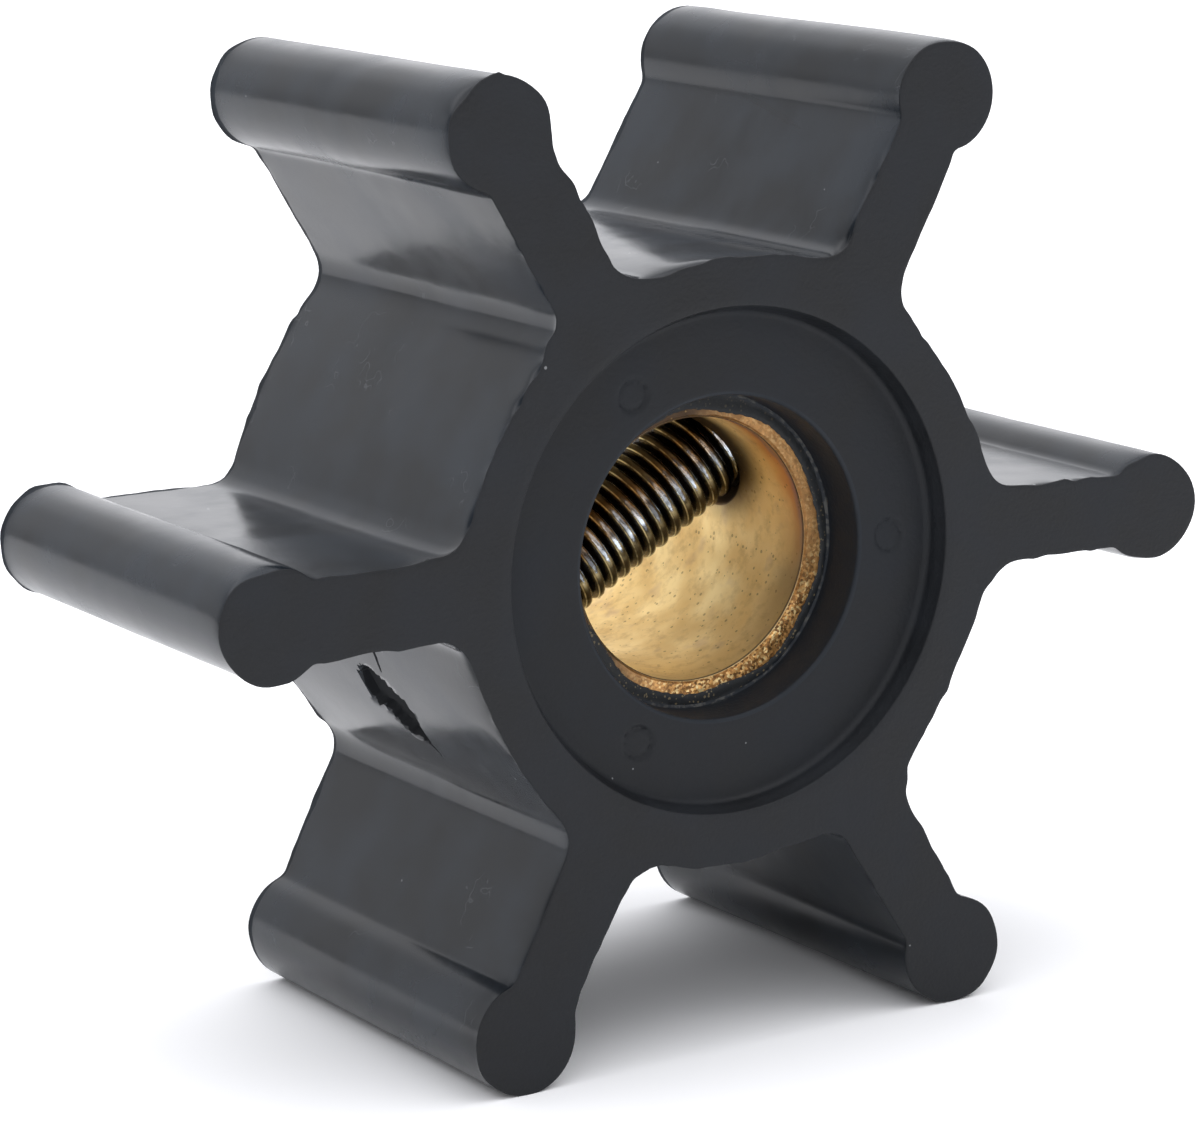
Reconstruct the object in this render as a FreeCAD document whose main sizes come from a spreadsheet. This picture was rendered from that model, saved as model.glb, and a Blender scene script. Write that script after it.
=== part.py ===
import FreeCAD, Part
import enum
import math
import os

import Sketcher

# Flexible vane impeller for a small raw water pump, in millimetres.
# The axis of rotation is Y, the origin lies on it at half the width, and +Z is up.
# The face that shows the recess with the three locating marks looks towards -Y.
# The first vane points along +X and the impeller stands on the two vanes below.

SIZES = {
    "outer_dia": 51.0,          # over the tips of two opposite vanes
    "width": 22.0,              # rubber, face to face
    "vane_count": 6,
    "bulb_dia": 5.1,            # round tip of each vane
    "vane_root": 3.6,           # vane thickness where it leaves the hub
    "vane_neck": 3.4,           # vane thickness just below the round tip
    "root_fillet": 1.5,
    "neck_fillet": 0.8,
    "web_radius": 13.6,         # axis to the middle of the hub wall between two vanes
    "web_crown": 24.0,          # radius of the slight bulge of that wall
    "recess_dia": 23.0,         # recess of each face, at the face
    "recess_draft": 0.3,        # how far its wall leans in over the depth
    "recess_depth": 1.05,
    "recess_fillet": 0.35,
    "mouth_margin": 1.3,        # end face of the bush left bare round the bore
    "mouth_chamfer": 0.2,
    "mark_circle": 18.0,        # circle through the middles of the locating marks
    "mark_dia": 1.6,
    "mark_depth": 0.12,
    "mark_count": 3,
    "shaft_bore": 12.0,
    "bush_wall": 2.5,
    "bush_inset": 3.45,         # from each face of the rubber to the end of the bush
    "bush_chamfer": 0.2,        # at both ends of the bore
    "flute_dia": 1.6,           # round flutes along the bush, which key it to the rubber
    "flute_count": 6,
    "bond_gap": 0.01,           # between bush and rubber, all round
    "screw_dia": 5.0,           # over the thread
    "screw_inset": 0.5,         # from the bush's outside to each end of the screw
    "screw_chamfer": 0.6,
    "screw_angle": 30.0,        # direction of the screw, from +X towards +Z
    "thread_gap": 0.02,         # between screw and tapped hole, all round
    "free_gap": 0.3,            # between screw and the free hole on its upper side
}

# What follows from those sizes, as formulas on the sheet.
HALF_WIDTH = "sizes.width / 2"
BULB_PLACE = "(sizes.outer_dia - sizes.bulb_dia) / 2"
PANEL_WIDTH = "2 * sizes.web_radius * tan(180 / sizes.vane_count)"
RECESS_RIM = "sizes.recess_dia / 2"
RECESS_FOOT = "sizes.recess_dia / 2 - sizes.recess_draft"
FLOOR_PLACE = "sizes.width / 2 - sizes.recess_depth"
MOUTH_DIA = "sizes.shaft_bore + 2 * sizes.mouth_margin"
BUSH_DIA = "sizes.shaft_bore + 2 * sizes.bush_wall"
BUSH_LENGTH = "sizes.width - 2 * sizes.bush_inset"
SEAT_DIA = "sizes.shaft_bore + 2 * sizes.bush_wall + 2 * sizes.bond_gap"
SEAT_LENGTH = "sizes.width - 2 * sizes.bush_inset + 2 * sizes.bond_gap"
KEY_DIA = "sizes.flute_dia - 2 * sizes.bond_gap"
SCREW_LENGTH = "sizes.shaft_bore + 2 * sizes.bush_wall - 2 * sizes.screw_inset"
TAPPED_DIA = "sizes.screw_dia + 2 * sizes.thread_gap"
FREE_DIA = "sizes.screw_dia + 2 * sizes.free_gap"

SAME_PLACE = 1e-4

doc = FreeCAD.newDocument("flexible_vane_impeller")
sizes = doc.addObject("Spreadsheet::Sheet", "sizes")
for row, (name, value) in enumerate(SIZES.items(), start=1):
    sizes.set("A%d" % row, name)
    sizes.set("B%d" % row, str(value))
    sizes.setAlias("B%d" % row, name)
doc.recompute()


class Spot(enum.IntEnum):
    """Point of a line, arc or circle, as a sketch constraint names it."""

    START = 1
    END = 2
    MIDDLE = 3


class Axis(enum.IntEnum):
    """Axis of a sketch, as a constraint names it."""

    ACROSS = -1
    UP = -2


START, END, MIDDLE = Spot
ORIGIN = (Axis.ACROSS, START)


def number(formula):
    """Value of a formula on the sheet."""
    return sizes.evalExpression(formula)


def vector(x, y):
    return FreeCAD.Vector(x, y, 0)


def circle(x, y, radius):
    return Part.Circle(vector(x, y), FreeCAD.Vector(0, 0, 1), radius)


def origin_feature(body, role):
    """Plane or axis of the body's own origin."""
    return next(item for item in body.Origin.OriginFeatures if item.Role == role)


def new_body(label):
    body = doc.addObject("PartDesign::Body", label)
    body.Label = label
    body.Placement = FreeCAD.Placement()
    return body


def new_sketch(body, name, role):
    """Empty sketch on one of the body's origin planes."""
    sketch = body.newObject("Sketcher::SketchObject", name)
    sketch.AttachmentSupport = (origin_feature(body, role), [""])
    sketch.MapMode = "FlatFace"
    return sketch


def constrain(sketch, kind, *where):
    return sketch.addConstraint(Sketcher.Constraint(kind, *where))


def bind(sketch, name, formula, kind, *where):
    """Adds a named dimension to the sketch and ties it to the sheet."""
    index = constrain(sketch, kind, *where, number(formula))
    sketch.renameConstraint(index, name)
    sketch.setExpression("Constraints." + name, formula)


def chain(sketch, pieces):
    """Joins the end of each piece of a closed outline to the start of the next."""
    for piece, following in zip(pieces, pieces[1:] + pieces[:1]):
        constrain(sketch, "Coincident", piece, END, following, START)


def closed_polygon(sketch, corners):
    """Straight closed outline, joined at its corners."""
    points = [vector(x, y) for x, y in corners]
    lines = [
        sketch.addGeometry(Part.LineSegment(start, end))
        for start, end in zip(points, points[1:] + points[:1])
    ]
    chain(sketch, lines)
    return lines


def centred_circle(body, name, role, diameter):
    """Sketch of a circle about the origin."""
    sketch = new_sketch(body, name, role)
    ring = sketch.addGeometry(circle(0, 0, number(diameter) / 2))
    constrain(sketch, "Coincident", ring, MIDDLE, *ORIGIN)
    bind(sketch, "diameter", diameter, "Diameter", ring)
    return sketch


def offset_circle(body, name, place, diameter):
    """Sketch across Y of a circle on the +X side of the axis."""
    sketch = new_sketch(body, name, "XZ_Plane")
    ring = sketch.addGeometry(circle(number(place), 0, number(diameter) / 2))
    constrain(sketch, "PointOnObject", ring, MIDDLE, Axis.ACROSS)
    bind(sketch, "place", place, "DistanceX", *ORIGIN, ring, MIDDLE)
    bind(sketch, "diameter", diameter, "Diameter", ring)
    return sketch


def pad_both_ways(body, name, sketch, length):
    """Pad of the sketch, half its length to each side."""
    pad = body.newObject("PartDesign::Pad", name)
    pad.Profile = sketch
    pad.SideType = "Symmetric"
    pad.setExpression("Length", length)
    return pad


def pocket_right_through(body, name, sketch):
    pocket = body.newObject("PartDesign::Pocket", name)
    pocket.Profile = sketch
    pocket.SideType = "Symmetric"
    pocket.Type = "ThroughAll"
    return pocket


def pocket_one_way(body, name, sketch, length, reversed_way):
    """Pocket against the sketch's normal, or along it when reversed."""
    pocket = body.newObject("PartDesign::Pocket", name)
    pocket.Profile = sketch
    pocket.Reversed = reversed_way
    pocket.setExpression("Length", length)
    return pocket


def turn_away(body, name, sketch):
    """Groove of the sketch, a full turn about the body's Y axis."""
    groove = body.newObject("PartDesign::Groove", name)
    groove.Profile = sketch
    groove.ReferenceAxis = (sketch, ["V_Axis"])
    groove.Angle = 360
    return groove


def repeat_round_axis(body, name, features, count):
    """The features, repeated round the body's Y axis."""
    pattern = body.newObject("PartDesign::PolarPattern", name)
    pattern.Originals = features
    pattern.Axis = (origin_feature(body, "Y_Axis"), [""])
    pattern.Angle = 360
    pattern.setExpression("Occurrences", count)
    body.Tip = pattern
    return pattern


def dress(body, kind, name, base, wanted, property_name, size):
    """Fillet or chamfer on the base's edges for which wanted is true."""
    doc.recompute()
    edges = [
        "Edge%d" % place
        for place, edge in enumerate(base.Shape.Edges, start=1)
        if wanted(edge)
    ]
    feature = body.newObject("PartDesign::" + kind, name)
    feature.Base = (base, edges)
    feature.setExpression(property_name, size)
    body.Tip = feature
    return feature


def off_axis(point):
    """Distance of a point from the Y axis."""
    return math.hypot(point.x, point.z)


def is_round_axis(edge, radius, height):
    """Whether the edge is a circle round Y of that radius, that far along Y to either side."""
    curve = edge.Curve
    return (
        isinstance(curve, Part.Circle)
        and abs(curve.Radius - radius) < SAME_PLACE
        and off_axis(curve.Center) < SAME_PLACE
        and abs(abs(curve.Center.y) - height) < SAME_PLACE
    )


def is_along_axis(edge, nearest, farthest):
    """Whether the edge is straight along Y, between two distances from it."""
    if not isinstance(edge.Curve, Part.Line):
        return False
    direction = edge.Curve.Direction
    distance = off_axis(edge.Vertexes[0].Point)
    return off_axis(direction) < SAME_PLACE and nearest < distance < farthest


def touches_tip(edge, shape):
    """Whether one of the faces beside the edge is the round tip of a vane."""
    radius = SIZES["bulb_dia"] / 2
    return any(
        isinstance(face.Surface, Part.Cylinder)
        and abs(face.Surface.Radius - radius) < SAME_PLACE
        for face in shape.ancestorsOfType(edge, Part.Face)
    )


def web_panel_sketch(body):
    """Hub wall of one bay, upright over the axis, with a crowned top.

    Its upper corners end inside the two vanes beside it.
    """
    sketch = new_sketch(body, "WebPanelSketch", "XZ_Plane")
    radius, crown = SIZES["web_radius"], SIZES["web_crown"]
    half = number(PANEL_WIDTH) / 2
    spread = math.asin(half / crown)
    shoulder = radius - crown + crown * math.cos(spread)
    top = sketch.addGeometry(Part.ArcOfCircle(
        circle(0, radius - crown, crown), math.pi / 2 - spread, math.pi / 2 + spread
    ))
    left = sketch.addGeometry(Part.LineSegment(vector(-half, shoulder), vector(-half, 0)))
    foot = sketch.addGeometry(Part.LineSegment(vector(-half, 0), vector(half, 0)))
    right = sketch.addGeometry(Part.LineSegment(vector(half, 0), vector(half, shoulder)))
    chain(sketch, [top, left, foot, right])
    constrain(sketch, "Vertical", left)
    constrain(sketch, "Vertical", right)
    constrain(sketch, "PointOnObject", foot, START, Axis.ACROSS)
    constrain(sketch, "Symmetric", foot, START, foot, END, Axis.UP)
    constrain(sketch, "PointOnObject", top, MIDDLE, Axis.UP)
    bind(sketch, "crown", "sizes.web_crown", "Radius", top)
    bind(sketch, "set_back", "sizes.web_crown - sizes.web_radius",
         "DistanceY", top, MIDDLE, *ORIGIN)
    bind(sketch, "panel_width", PANEL_WIDTH, "DistanceX", foot, START, foot, END)
    return sketch


def vane_sketch(body):
    """One vane along +X: tapered blade from inside the hub wall to its round tip."""
    sketch = new_sketch(body, "VaneSketch", "XZ_Plane")
    bulb, place, inner = SIZES["bulb_dia"] / 2, number(BULB_PLACE), number(RECESS_RIM)
    root, neck = SIZES["vane_root"] / 2, SIZES["vane_neck"] / 2
    lean = math.asin(neck / bulb)
    neck_place = place - bulb * math.cos(lean)
    upper = sketch.addGeometry(
        Part.LineSegment(vector(neck_place, neck), vector(inner, root))
    )
    inside = sketch.addGeometry(Part.LineSegment(vector(inner, root), vector(inner, -root)))
    lower = sketch.addGeometry(
        Part.LineSegment(vector(inner, -root), vector(neck_place, -neck))
    )
    tip = sketch.addGeometry(
        Part.ArcOfCircle(circle(place, 0, bulb), lean - math.pi, math.pi - lean)
    )
    chain(sketch, [upper, inside, lower, tip])
    constrain(sketch, "Symmetric", inside, START, inside, END, Axis.ACROSS)
    constrain(sketch, "Vertical", upper, START, lower, END)
    constrain(sketch, "PointOnObject", tip, MIDDLE, Axis.ACROSS)
    bind(sketch, "bulb_radius", "sizes.bulb_dia / 2", "Radius", tip)
    bind(sketch, "bulb_place", BULB_PLACE, "DistanceX", *ORIGIN, tip, MIDDLE)
    bind(sketch, "root_place", RECESS_RIM, "DistanceX", *ORIGIN, inside, START)
    bind(sketch, "root_thickness", "sizes.vane_root",
         "DistanceY", inside, END, inside, START)
    bind(sketch, "neck_thickness", "sizes.vane_neck",
         "DistanceY", lower, END, upper, START)
    return sketch


def recess_sketch(body):
    """Half section of the front recess: radius across, axis upwards."""
    sketch = new_sketch(body, "RecessSketch", "XY_Plane")
    face, floor = -number(HALF_WIDTH), -number(FLOOR_PLACE)
    mouth, wall, bottom, middle = closed_polygon(
        sketch,
        [(0, face), (number(RECESS_RIM), face), (number(RECESS_FOOT), floor), (0, floor)],
    )
    constrain(sketch, "Horizontal", mouth)
    constrain(sketch, "Horizontal", bottom)
    constrain(sketch, "PointOnObject", mouth, START, Axis.UP)
    constrain(sketch, "PointOnObject", bottom, END, Axis.UP)
    bind(sketch, "face", HALF_WIDTH, "DistanceY", mouth, START, *ORIGIN)
    bind(sketch, "depth", "sizes.recess_depth", "DistanceY", mouth, START, middle, START)
    bind(sketch, "rim", RECESS_RIM, "DistanceX", mouth, START, wall, START)
    bind(sketch, "foot", RECESS_FOOT, "DistanceX", middle, START, wall, END)
    return sketch


def seat_sketch(body):
    """Half section of the room for the bush: radius across, axis upwards."""
    sketch = new_sketch(body, "SeatSketch", "XY_Plane")
    radius, half = number(SEAT_DIA) / 2, number(SEAT_LENGTH) / 2
    front, outside, rear, middle = closed_polygon(
        sketch, [(0, -half), (radius, -half), (radius, half), (0, half)]
    )
    constrain(sketch, "Horizontal", front)
    constrain(sketch, "Vertical", outside)
    constrain(sketch, "Horizontal", rear)
    constrain(sketch, "PointOnObject", front, START, Axis.UP)
    constrain(sketch, "Symmetric", front, START, middle, START, Axis.ACROSS)
    bind(sketch, "length", SEAT_LENGTH, "DistanceY", outside, START, outside, END)
    bind(sketch, "radius", "(%s) / 2" % SEAT_DIA, "DistanceX", front, START, front, END)
    return sketch


def moulded_star(body):
    """Hub walls and vanes, repeated round the axis, with their fillets."""
    panel = pad_both_ways(body, "WebPanel", web_panel_sketch(body), "sizes.width")
    vane = pad_both_ways(body, "Vane", vane_sketch(body), "sizes.width")
    star = repeat_round_axis(body, "VaneRing", [panel, vane], "sizes.vane_count")
    inner, outer = number(RECESS_RIM), number(BULB_PLACE)
    half_way = (SIZES["web_radius"] + outer) / 2
    roots = dress(body, "Fillet", "RootFillets", star,
                  lambda edge: is_along_axis(edge, inner, half_way),
                  "Radius", "sizes.root_fillet")
    return dress(body, "Fillet", "NeckFillets", roots,
                 lambda edge: is_along_axis(edge, half_way, outer)
                 and touches_tip(edge, roots.Shape),
                 "Radius", "sizes.neck_fillet")


def recessed_faces(body):
    """Drafted recess in both faces, and the hole in front of and behind the bush."""
    front = turn_away(body, "FrontRecess", recess_sketch(body))
    both = body.newObject("PartDesign::Mirrored", "RearRecess")
    both.Originals = [front]
    both.MirrorPlane = (origin_feature(body, "XZ_Plane"), [""])
    body.Tip = both
    mouth = pocket_right_through(
        body, "Mouth", centred_circle(body, "MouthSketch", "XZ_Plane", MOUTH_DIA)
    )
    floor, foot, lip = number(FLOOR_PLACE), number(RECESS_FOOT), number(MOUTH_DIA) / 2
    feet = dress(body, "Fillet", "RecessFillets", mouth,
                 lambda edge: is_round_axis(edge, foot, floor),
                 "Radius", "sizes.recess_fillet")
    return dress(body, "Chamfer", "MouthChamfers", feet,
                 lambda edge: is_round_axis(edge, lip, floor),
                 "Size", "sizes.mouth_chamfer")


def bush_seat(body):
    """Room for the bush, with the keys that fill its flutes."""
    turn_away(body, "BushSeat", seat_sketch(body))
    circles = offset_circle(body, "KeySketch", "(%s) / 2" % BUSH_DIA, KEY_DIA)
    key = pad_both_ways(body, "Key", circles, SEAT_LENGTH)
    return repeat_round_axis(body, "Keys", [key], "sizes.flute_count")


def locating_marks(body):
    """Shallow round marks on the floor of the front recess."""
    sketch = offset_circle(body, "MarkSketch", "sizes.mark_circle / 2", "sizes.mark_dia")
    sketch.setExpression("AttachmentOffset.Base.z", FLOOR_PLACE)
    mark = pocket_one_way(body, "Mark", sketch, "sizes.mark_depth", False)
    return repeat_round_axis(body, "Marks", [mark], "sizes.mark_count")


def rubber_impeller():
    """Moulded hub and vanes in one piece of rubber."""
    body = new_body("rubber_impeller")
    moulded_star(body)
    recessed_faces(body)
    bush_seat(body)
    locating_marks(body)
    return body


def turn_to_screw(sketch):
    """Turns a sketch on the YZ plane about Y until it looks along the screw."""
    across = FreeCAD.Vector(1, 0, 0)
    sketch.AttachmentOffset = FreeCAD.Placement(
        FreeCAD.Vector(), FreeCAD.Rotation(across, -SIZES["screw_angle"])
    )
    sketch.setExpression("AttachmentOffset.Rotation.Angle", "-sizes.screw_angle")
    return sketch


def brass_bush():
    """Fluted bush that is moulded into the hub, with a cross hole for the screw.

    The hole is tapped below the axis and drilled free above it.
    """
    body = new_body("brass_bush")
    blank = centred_circle(body, "BlankSketch", "XZ_Plane", BUSH_DIA)
    pad_both_ways(body, "Blank", blank, BUSH_LENGTH)
    circles = offset_circle(body, "FluteSketch", "(%s) / 2" % BUSH_DIA, "sizes.flute_dia")
    flute = pocket_right_through(body, "Flute", circles)
    repeat_round_axis(body, "Flutes", [flute], "sizes.flute_count")
    bore = pocket_right_through(
        body, "ShaftBore", centred_circle(body, "BoreSketch", "XZ_Plane", "sizes.shaft_bore")
    )
    radius, end = SIZES["shaft_bore"] / 2, number(BUSH_LENGTH) / 2
    dress(body, "Chamfer", "BoreChamfers", bore,
          lambda edge: is_round_axis(edge, radius, end),
          "Size", "sizes.bush_chamfer")
    tapped = centred_circle(body, "TappedHoleSketch", "YZ_Plane", TAPPED_DIA)
    pocket_right_through(body, "TappedHole", turn_to_screw(tapped))
    free = centred_circle(body, "FreeHoleSketch", "YZ_Plane", FREE_DIA)
    pocket_one_way(body, "FreeHole", turn_to_screw(free), BUSH_DIA, True)
    return body


def drive_screw():
    """Threaded stud across the bush, which the slotted end of the shaft straddles."""
    body = new_body("drive_screw")
    section = centred_circle(body, "SectionSketch", "YZ_Plane", "sizes.screw_dia")
    shank = pad_both_ways(body, "Shank", turn_to_screw(section), SCREW_LENGTH)
    dress(body, "Chamfer", "EndChamfers", shank,
          lambda edge: isinstance(edge.Curve, Part.Circle),
          "Size", "sizes.screw_chamfer")
    return body


bodies = [rubber_impeller(), brass_bush(), drive_screw()]
doc.recompute()

for item in doc.Objects:
    faults = [state for state in item.State if state in ("Invalid", "Error")]
    if faults:
        raise RuntimeError("%s: %s" % (item.Label, ", ".join(faults)))
for body in bodies:
    if body.Shape.isNull() or not body.Shape.isValid():
        raise RuntimeError("%s has no sound shape" % body.Label)

os.makedirs("parts", exist_ok=True)
for body in bodies:
    body.Shape.exportStep("parts/%s.step" % body.Label)
    box = body.Shape.BoundBox
    print("%-16s volume %9.2f mm3, %.2f x %.2f x %.2f mm"
          % (body.Label, body.Shape.Volume, box.XLength, box.YLength, box.ZLength))
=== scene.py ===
import enum
import functools
import logging
import math
from dataclasses import dataclass, field
from typing import Callable, Optional, Sequence

import bmesh
import bpy
import numpy as np
from mathutils import Matrix, Vector


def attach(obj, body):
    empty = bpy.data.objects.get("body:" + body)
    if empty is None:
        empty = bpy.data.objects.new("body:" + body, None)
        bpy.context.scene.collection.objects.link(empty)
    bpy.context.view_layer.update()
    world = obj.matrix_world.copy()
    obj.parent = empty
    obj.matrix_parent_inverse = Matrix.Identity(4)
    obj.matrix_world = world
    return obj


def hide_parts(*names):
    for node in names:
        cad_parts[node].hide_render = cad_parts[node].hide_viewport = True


# Looks of the flexible vane pump impeller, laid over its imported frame.
# Sizes are in millimetres and turn into metres where a mesh is written.
# The axis of rotation is Y, the face in view looks towards -Y, and +Z is up.

MM = 0.001
BODY = "root"
Socket = bpy.types.NodeSocket
Material = bpy.types.Material
Piece = bpy.types.Object

VANES = 6
VANE_ANGLE = 60.0
QUARTER = np.radians([0.0, 30.0, 60.0, 90.0])
LATTICE = 64
SMALL = 1e-6

log = logging.getLogger("impeller")

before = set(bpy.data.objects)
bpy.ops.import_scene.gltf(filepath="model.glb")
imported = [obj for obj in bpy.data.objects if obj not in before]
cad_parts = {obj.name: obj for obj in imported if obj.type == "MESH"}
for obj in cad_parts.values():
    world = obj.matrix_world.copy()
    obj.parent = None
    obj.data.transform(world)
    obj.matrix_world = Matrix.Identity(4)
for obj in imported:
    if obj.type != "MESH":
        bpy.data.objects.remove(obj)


class Slot(enum.Enum):
    """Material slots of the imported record."""

    RUBBER = "black_rubber"
    BRASS = "brass"
    STEEL = "screw_steel"


class Seed(enum.IntEnum):
    """Seeds of the random draws. A flash takes the next two numbers as well."""

    SWAY_WIDE = 5
    SWAY_CLOSE = 6
    FRONT_FLASH = 11
    RAGGED_WIDE = 21
    RAGGED_CLOSE = 22
    GRIT = 31
    REAR_FLASH = 47
    BORE_EDGE = 71
    TORN_CLOSE = 73
    TORN_WIDE = 74


def smooth_step(value: np.ndarray, low: float, high: float) -> np.ndarray:
    """Cubic step 3t^2 - 2t^3, where t runs from 0 at low to 1 at high.

    Args:
        value: Where the step is read.
        low: Value at which it leaves 0.
        high: Value at which it reaches 1.

    Returns:
        The step at each value.
    """
    t = np.clip((np.asarray(value, float) - low) / (high - low), 0.0, 1.0)
    return t * t * (3.0 - 2.0 * t)


def wander(place: np.ndarray, period: float, waves: int, seed: int) -> np.ndarray:
    """Closed random wave: a sum of sines of 1 to `waves` cycles per period with random phases.

    Args:
        place: Where the wave is read.
        period: Length after which it repeats.
        waves: Highest number of cycles in one period.
        seed: Seed of the phases.

    Returns:
        Values with a spread of about 1.
    """
    chance = np.random.default_rng(seed)
    cycles = np.arange(1, waves + 1)
    phase = chance.uniform(0.0, math.tau, waves)
    size = chance.normal(0.0, 1.0, waves) / math.sqrt(waves)
    angle = math.tau * np.multiply.outer(np.asarray(place, float) / period, cycles)
    return (np.sin(angle + phase) * size).sum(axis=-1) * math.sqrt(2.0)


def lattice_noise(points: np.ndarray, cell: float, seed: int) -> np.ndarray:
    """Value noise: random heights on a cubic lattice, eased together with smooth steps.

    Args:
        points: Points, one row each.
        cell: Spacing of the lattice.
        seed: Seed of the heights.

    Returns:
        One value from -1 to 1 for each point.
    """
    heights = np.random.default_rng(seed).uniform(-1.0, 1.0, (LATTICE, LATTICE, LATTICE))
    scaled = np.asarray(points, float) / cell
    corner = np.floor(scaled).astype(int)
    ease = scaled - corner
    ease = ease * ease * (3.0 - 2.0 * ease)
    total = np.zeros(len(scaled))
    for step in np.ndindex(2, 2, 2):
        offset = np.array(step)
        weight = np.where(offset == 1, ease, 1.0 - ease).prod(axis=1)
        index = (corner + offset) % LATTICE
        total += weight * heights[index[:, 0], index[:, 1], index[:, 2]]
    return total


def layered(points: np.ndarray, *layers: tuple) -> np.ndarray:
    """Sum of value noises, each layer given by its height, its cell and its seed."""
    return sum(height * lattice_noise(points, cell, seed) for height, cell, seed in layers)


def turned(points: np.ndarray, degrees: float) -> np.ndarray:
    """Points of the XZ plane turned about the origin, from +X towards +Z.

    Args:
        points: Points, one row each.
        degrees: Angle of the turn.

    Returns:
        The turned points.
    """
    angle = math.radians(degrees)
    cosine, sine = math.cos(angle), math.sin(angle)
    return points @ np.array([[cosine, sine], [-sine, cosine]])


def tilted(along: np.ndarray, across: np.ndarray, y: np.ndarray, degrees: float) -> np.ndarray:
    """Points of the row's frame, given along and across a line that rises from +X by an angle.

    Args:
        along: Places along the line.
        across: Places across it.
        y: Places along Y.
        degrees: Rise of the line.

    Returns:
        The points, with X, Y and Z in the last axis.
    """
    cosine, sine = math.cos(math.radians(degrees)), math.sin(math.radians(degrees))
    x, z = along * cosine - across * sine, along * sine + across * cosine
    return np.stack(np.broadcast_arrays(x, y, z), axis=-1)


def arc(centre: np.ndarray, radius: float, start: float, end: float, count: int) -> np.ndarray:
    """Points centre + radius * (cos a, sin a), with a running evenly from start to end.

    Args:
        centre: Middle of the arc.
        radius: Its radius.
        start: First angle in radians.
        end: Last angle in radians.
        count: Number of steps.

    Returns:
        count + 1 points.
    """
    angle = np.linspace(start, end, count + 1)
    return centre + radius * np.stack([np.cos(angle), np.sin(angle)], axis=1)


def grid_quads(rows: int, columns: int, first: int = 0) -> np.ndarray:
    """Quads of a grid whose points are stored row by row; its last column joins the first.

    Args:
        rows: Number of rows of points.
        columns: Number of points in a row.
        first: Index of the grid's first point.

    Returns:
        One row of four indices for each quad.
    """
    row = np.arange(rows - 1)[:, None] * columns
    column = np.arange(columns)[None, :]
    following = (column + 1) % columns
    quads = [row + column, row + columns + column, row + columns + following, row + following]
    return np.stack(quads, axis=-1).reshape(-1, 4) + first


def put(name: str, data: bpy.types.ID) -> Piece:
    """Makes an object of a mesh or a camera and links it to the scene.

    Args:
        name: Name of the object.
        data: The mesh or the camera.

    Returns:
        The object.
    """
    made = bpy.data.objects.new(name, data)
    bpy.context.scene.collection.objects.link(made)
    return made


@dataclass
class Skin:
    """Points, quads and a finish number for each quad, gathered before a mesh is written."""

    points: list = field(default_factory=list)
    quads: list = field(default_factory=list)
    finishes: list = field(default_factory=list)
    count: int = 0

    def add_grid(self, grid: np.ndarray, finish: Sequence[int]) -> None:
        """Adds a grid of points.

        Args:
            grid: Array of rows x columns x 3.
            finish: Finish number of each strip between two rows.
        """
        rows, columns = grid.shape[:2]
        self.points.append(grid.reshape(-1, 3))
        self.quads.append(grid_quads(rows, columns, self.count))
        self.finishes.append(np.repeat(np.asarray(finish, int), columns))
        self.count += rows * columns

    def write(self, name: str, materials: Sequence[Material],
              weld: float = 2e-4, crease: float = 38.0) -> Piece:
        """Writes the mesh, welds points that coincide and shades it smooth up to a crease.

        Args:
            name: Name of the piece.
            materials: Its finishes, in the order of their numbers.
            weld: Distance in millimetres under which points are one.
            crease: Angle in degrees over which an edge stays sharp.

        Returns:
            The piece, at the origin.
        """
        points = np.concatenate(self.points) * MM
        quads = np.concatenate(self.quads)
        mesh = bpy.data.meshes.new(name)
        mesh.from_pydata(points, [], quads)
        for material in materials:
            mesh.materials.append(material)
        mesh.polygons.foreach_set("material_index", np.concatenate(self.finishes).astype(np.int32))
        work = bmesh.new()
        work.from_mesh(mesh)
        bmesh.ops.remove_doubles(work, verts=work.verts, dist=weld * MM)
        bmesh.ops.dissolve_degenerate(work, edges=work.edges, dist=weld * MM)
        bmesh.ops.recalc_face_normals(work, faces=work.faces)
        open_edges = sum(1 for edge in work.edges if not edge.is_manifold)
        work.to_mesh(mesh)
        work.free()
        mesh.polygons.foreach_set("use_smooth", np.ones(len(mesh.polygons), bool))
        mesh.set_sharp_from_angle(angle=math.radians(crease))
        mesh.update()
        log.info("%s: %d quads, %d open edges", name, len(mesh.polygons), open_edges)
        return put(name, mesh)


class Zone(enum.IntEnum):
    """Stretches of half a vane's outline, from the tip to the middle of the next hub wall."""

    BULB = 0
    NECK = 1
    FLANK = 2
    ROOT = 3
    WEB = 4


FLASH_STRENGTH = {Zone.BULB: 0.15, Zone.NECK: 0.3, Zone.FLANK: 0.6, Zone.ROOT: 0.7, Zone.WEB: 1.0}


class RubberSurface(enum.IntEnum):
    """Finish numbers of the rubber."""

    GROUND = 0
    MOULDED = 1
    RECESS = 2


@dataclass(frozen=True)
class Blemish:
    """Small lump or nick of the outline at the front or rear edge.

    Attributes:
        x: Place across, in millimetres.
        z: Place upwards.
        height: How far the edge stands out, negative for a nick.
        reach: Distance over which it fades along the edge.
    """

    x: float
    z: float
    height: float
    reach: float


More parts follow.
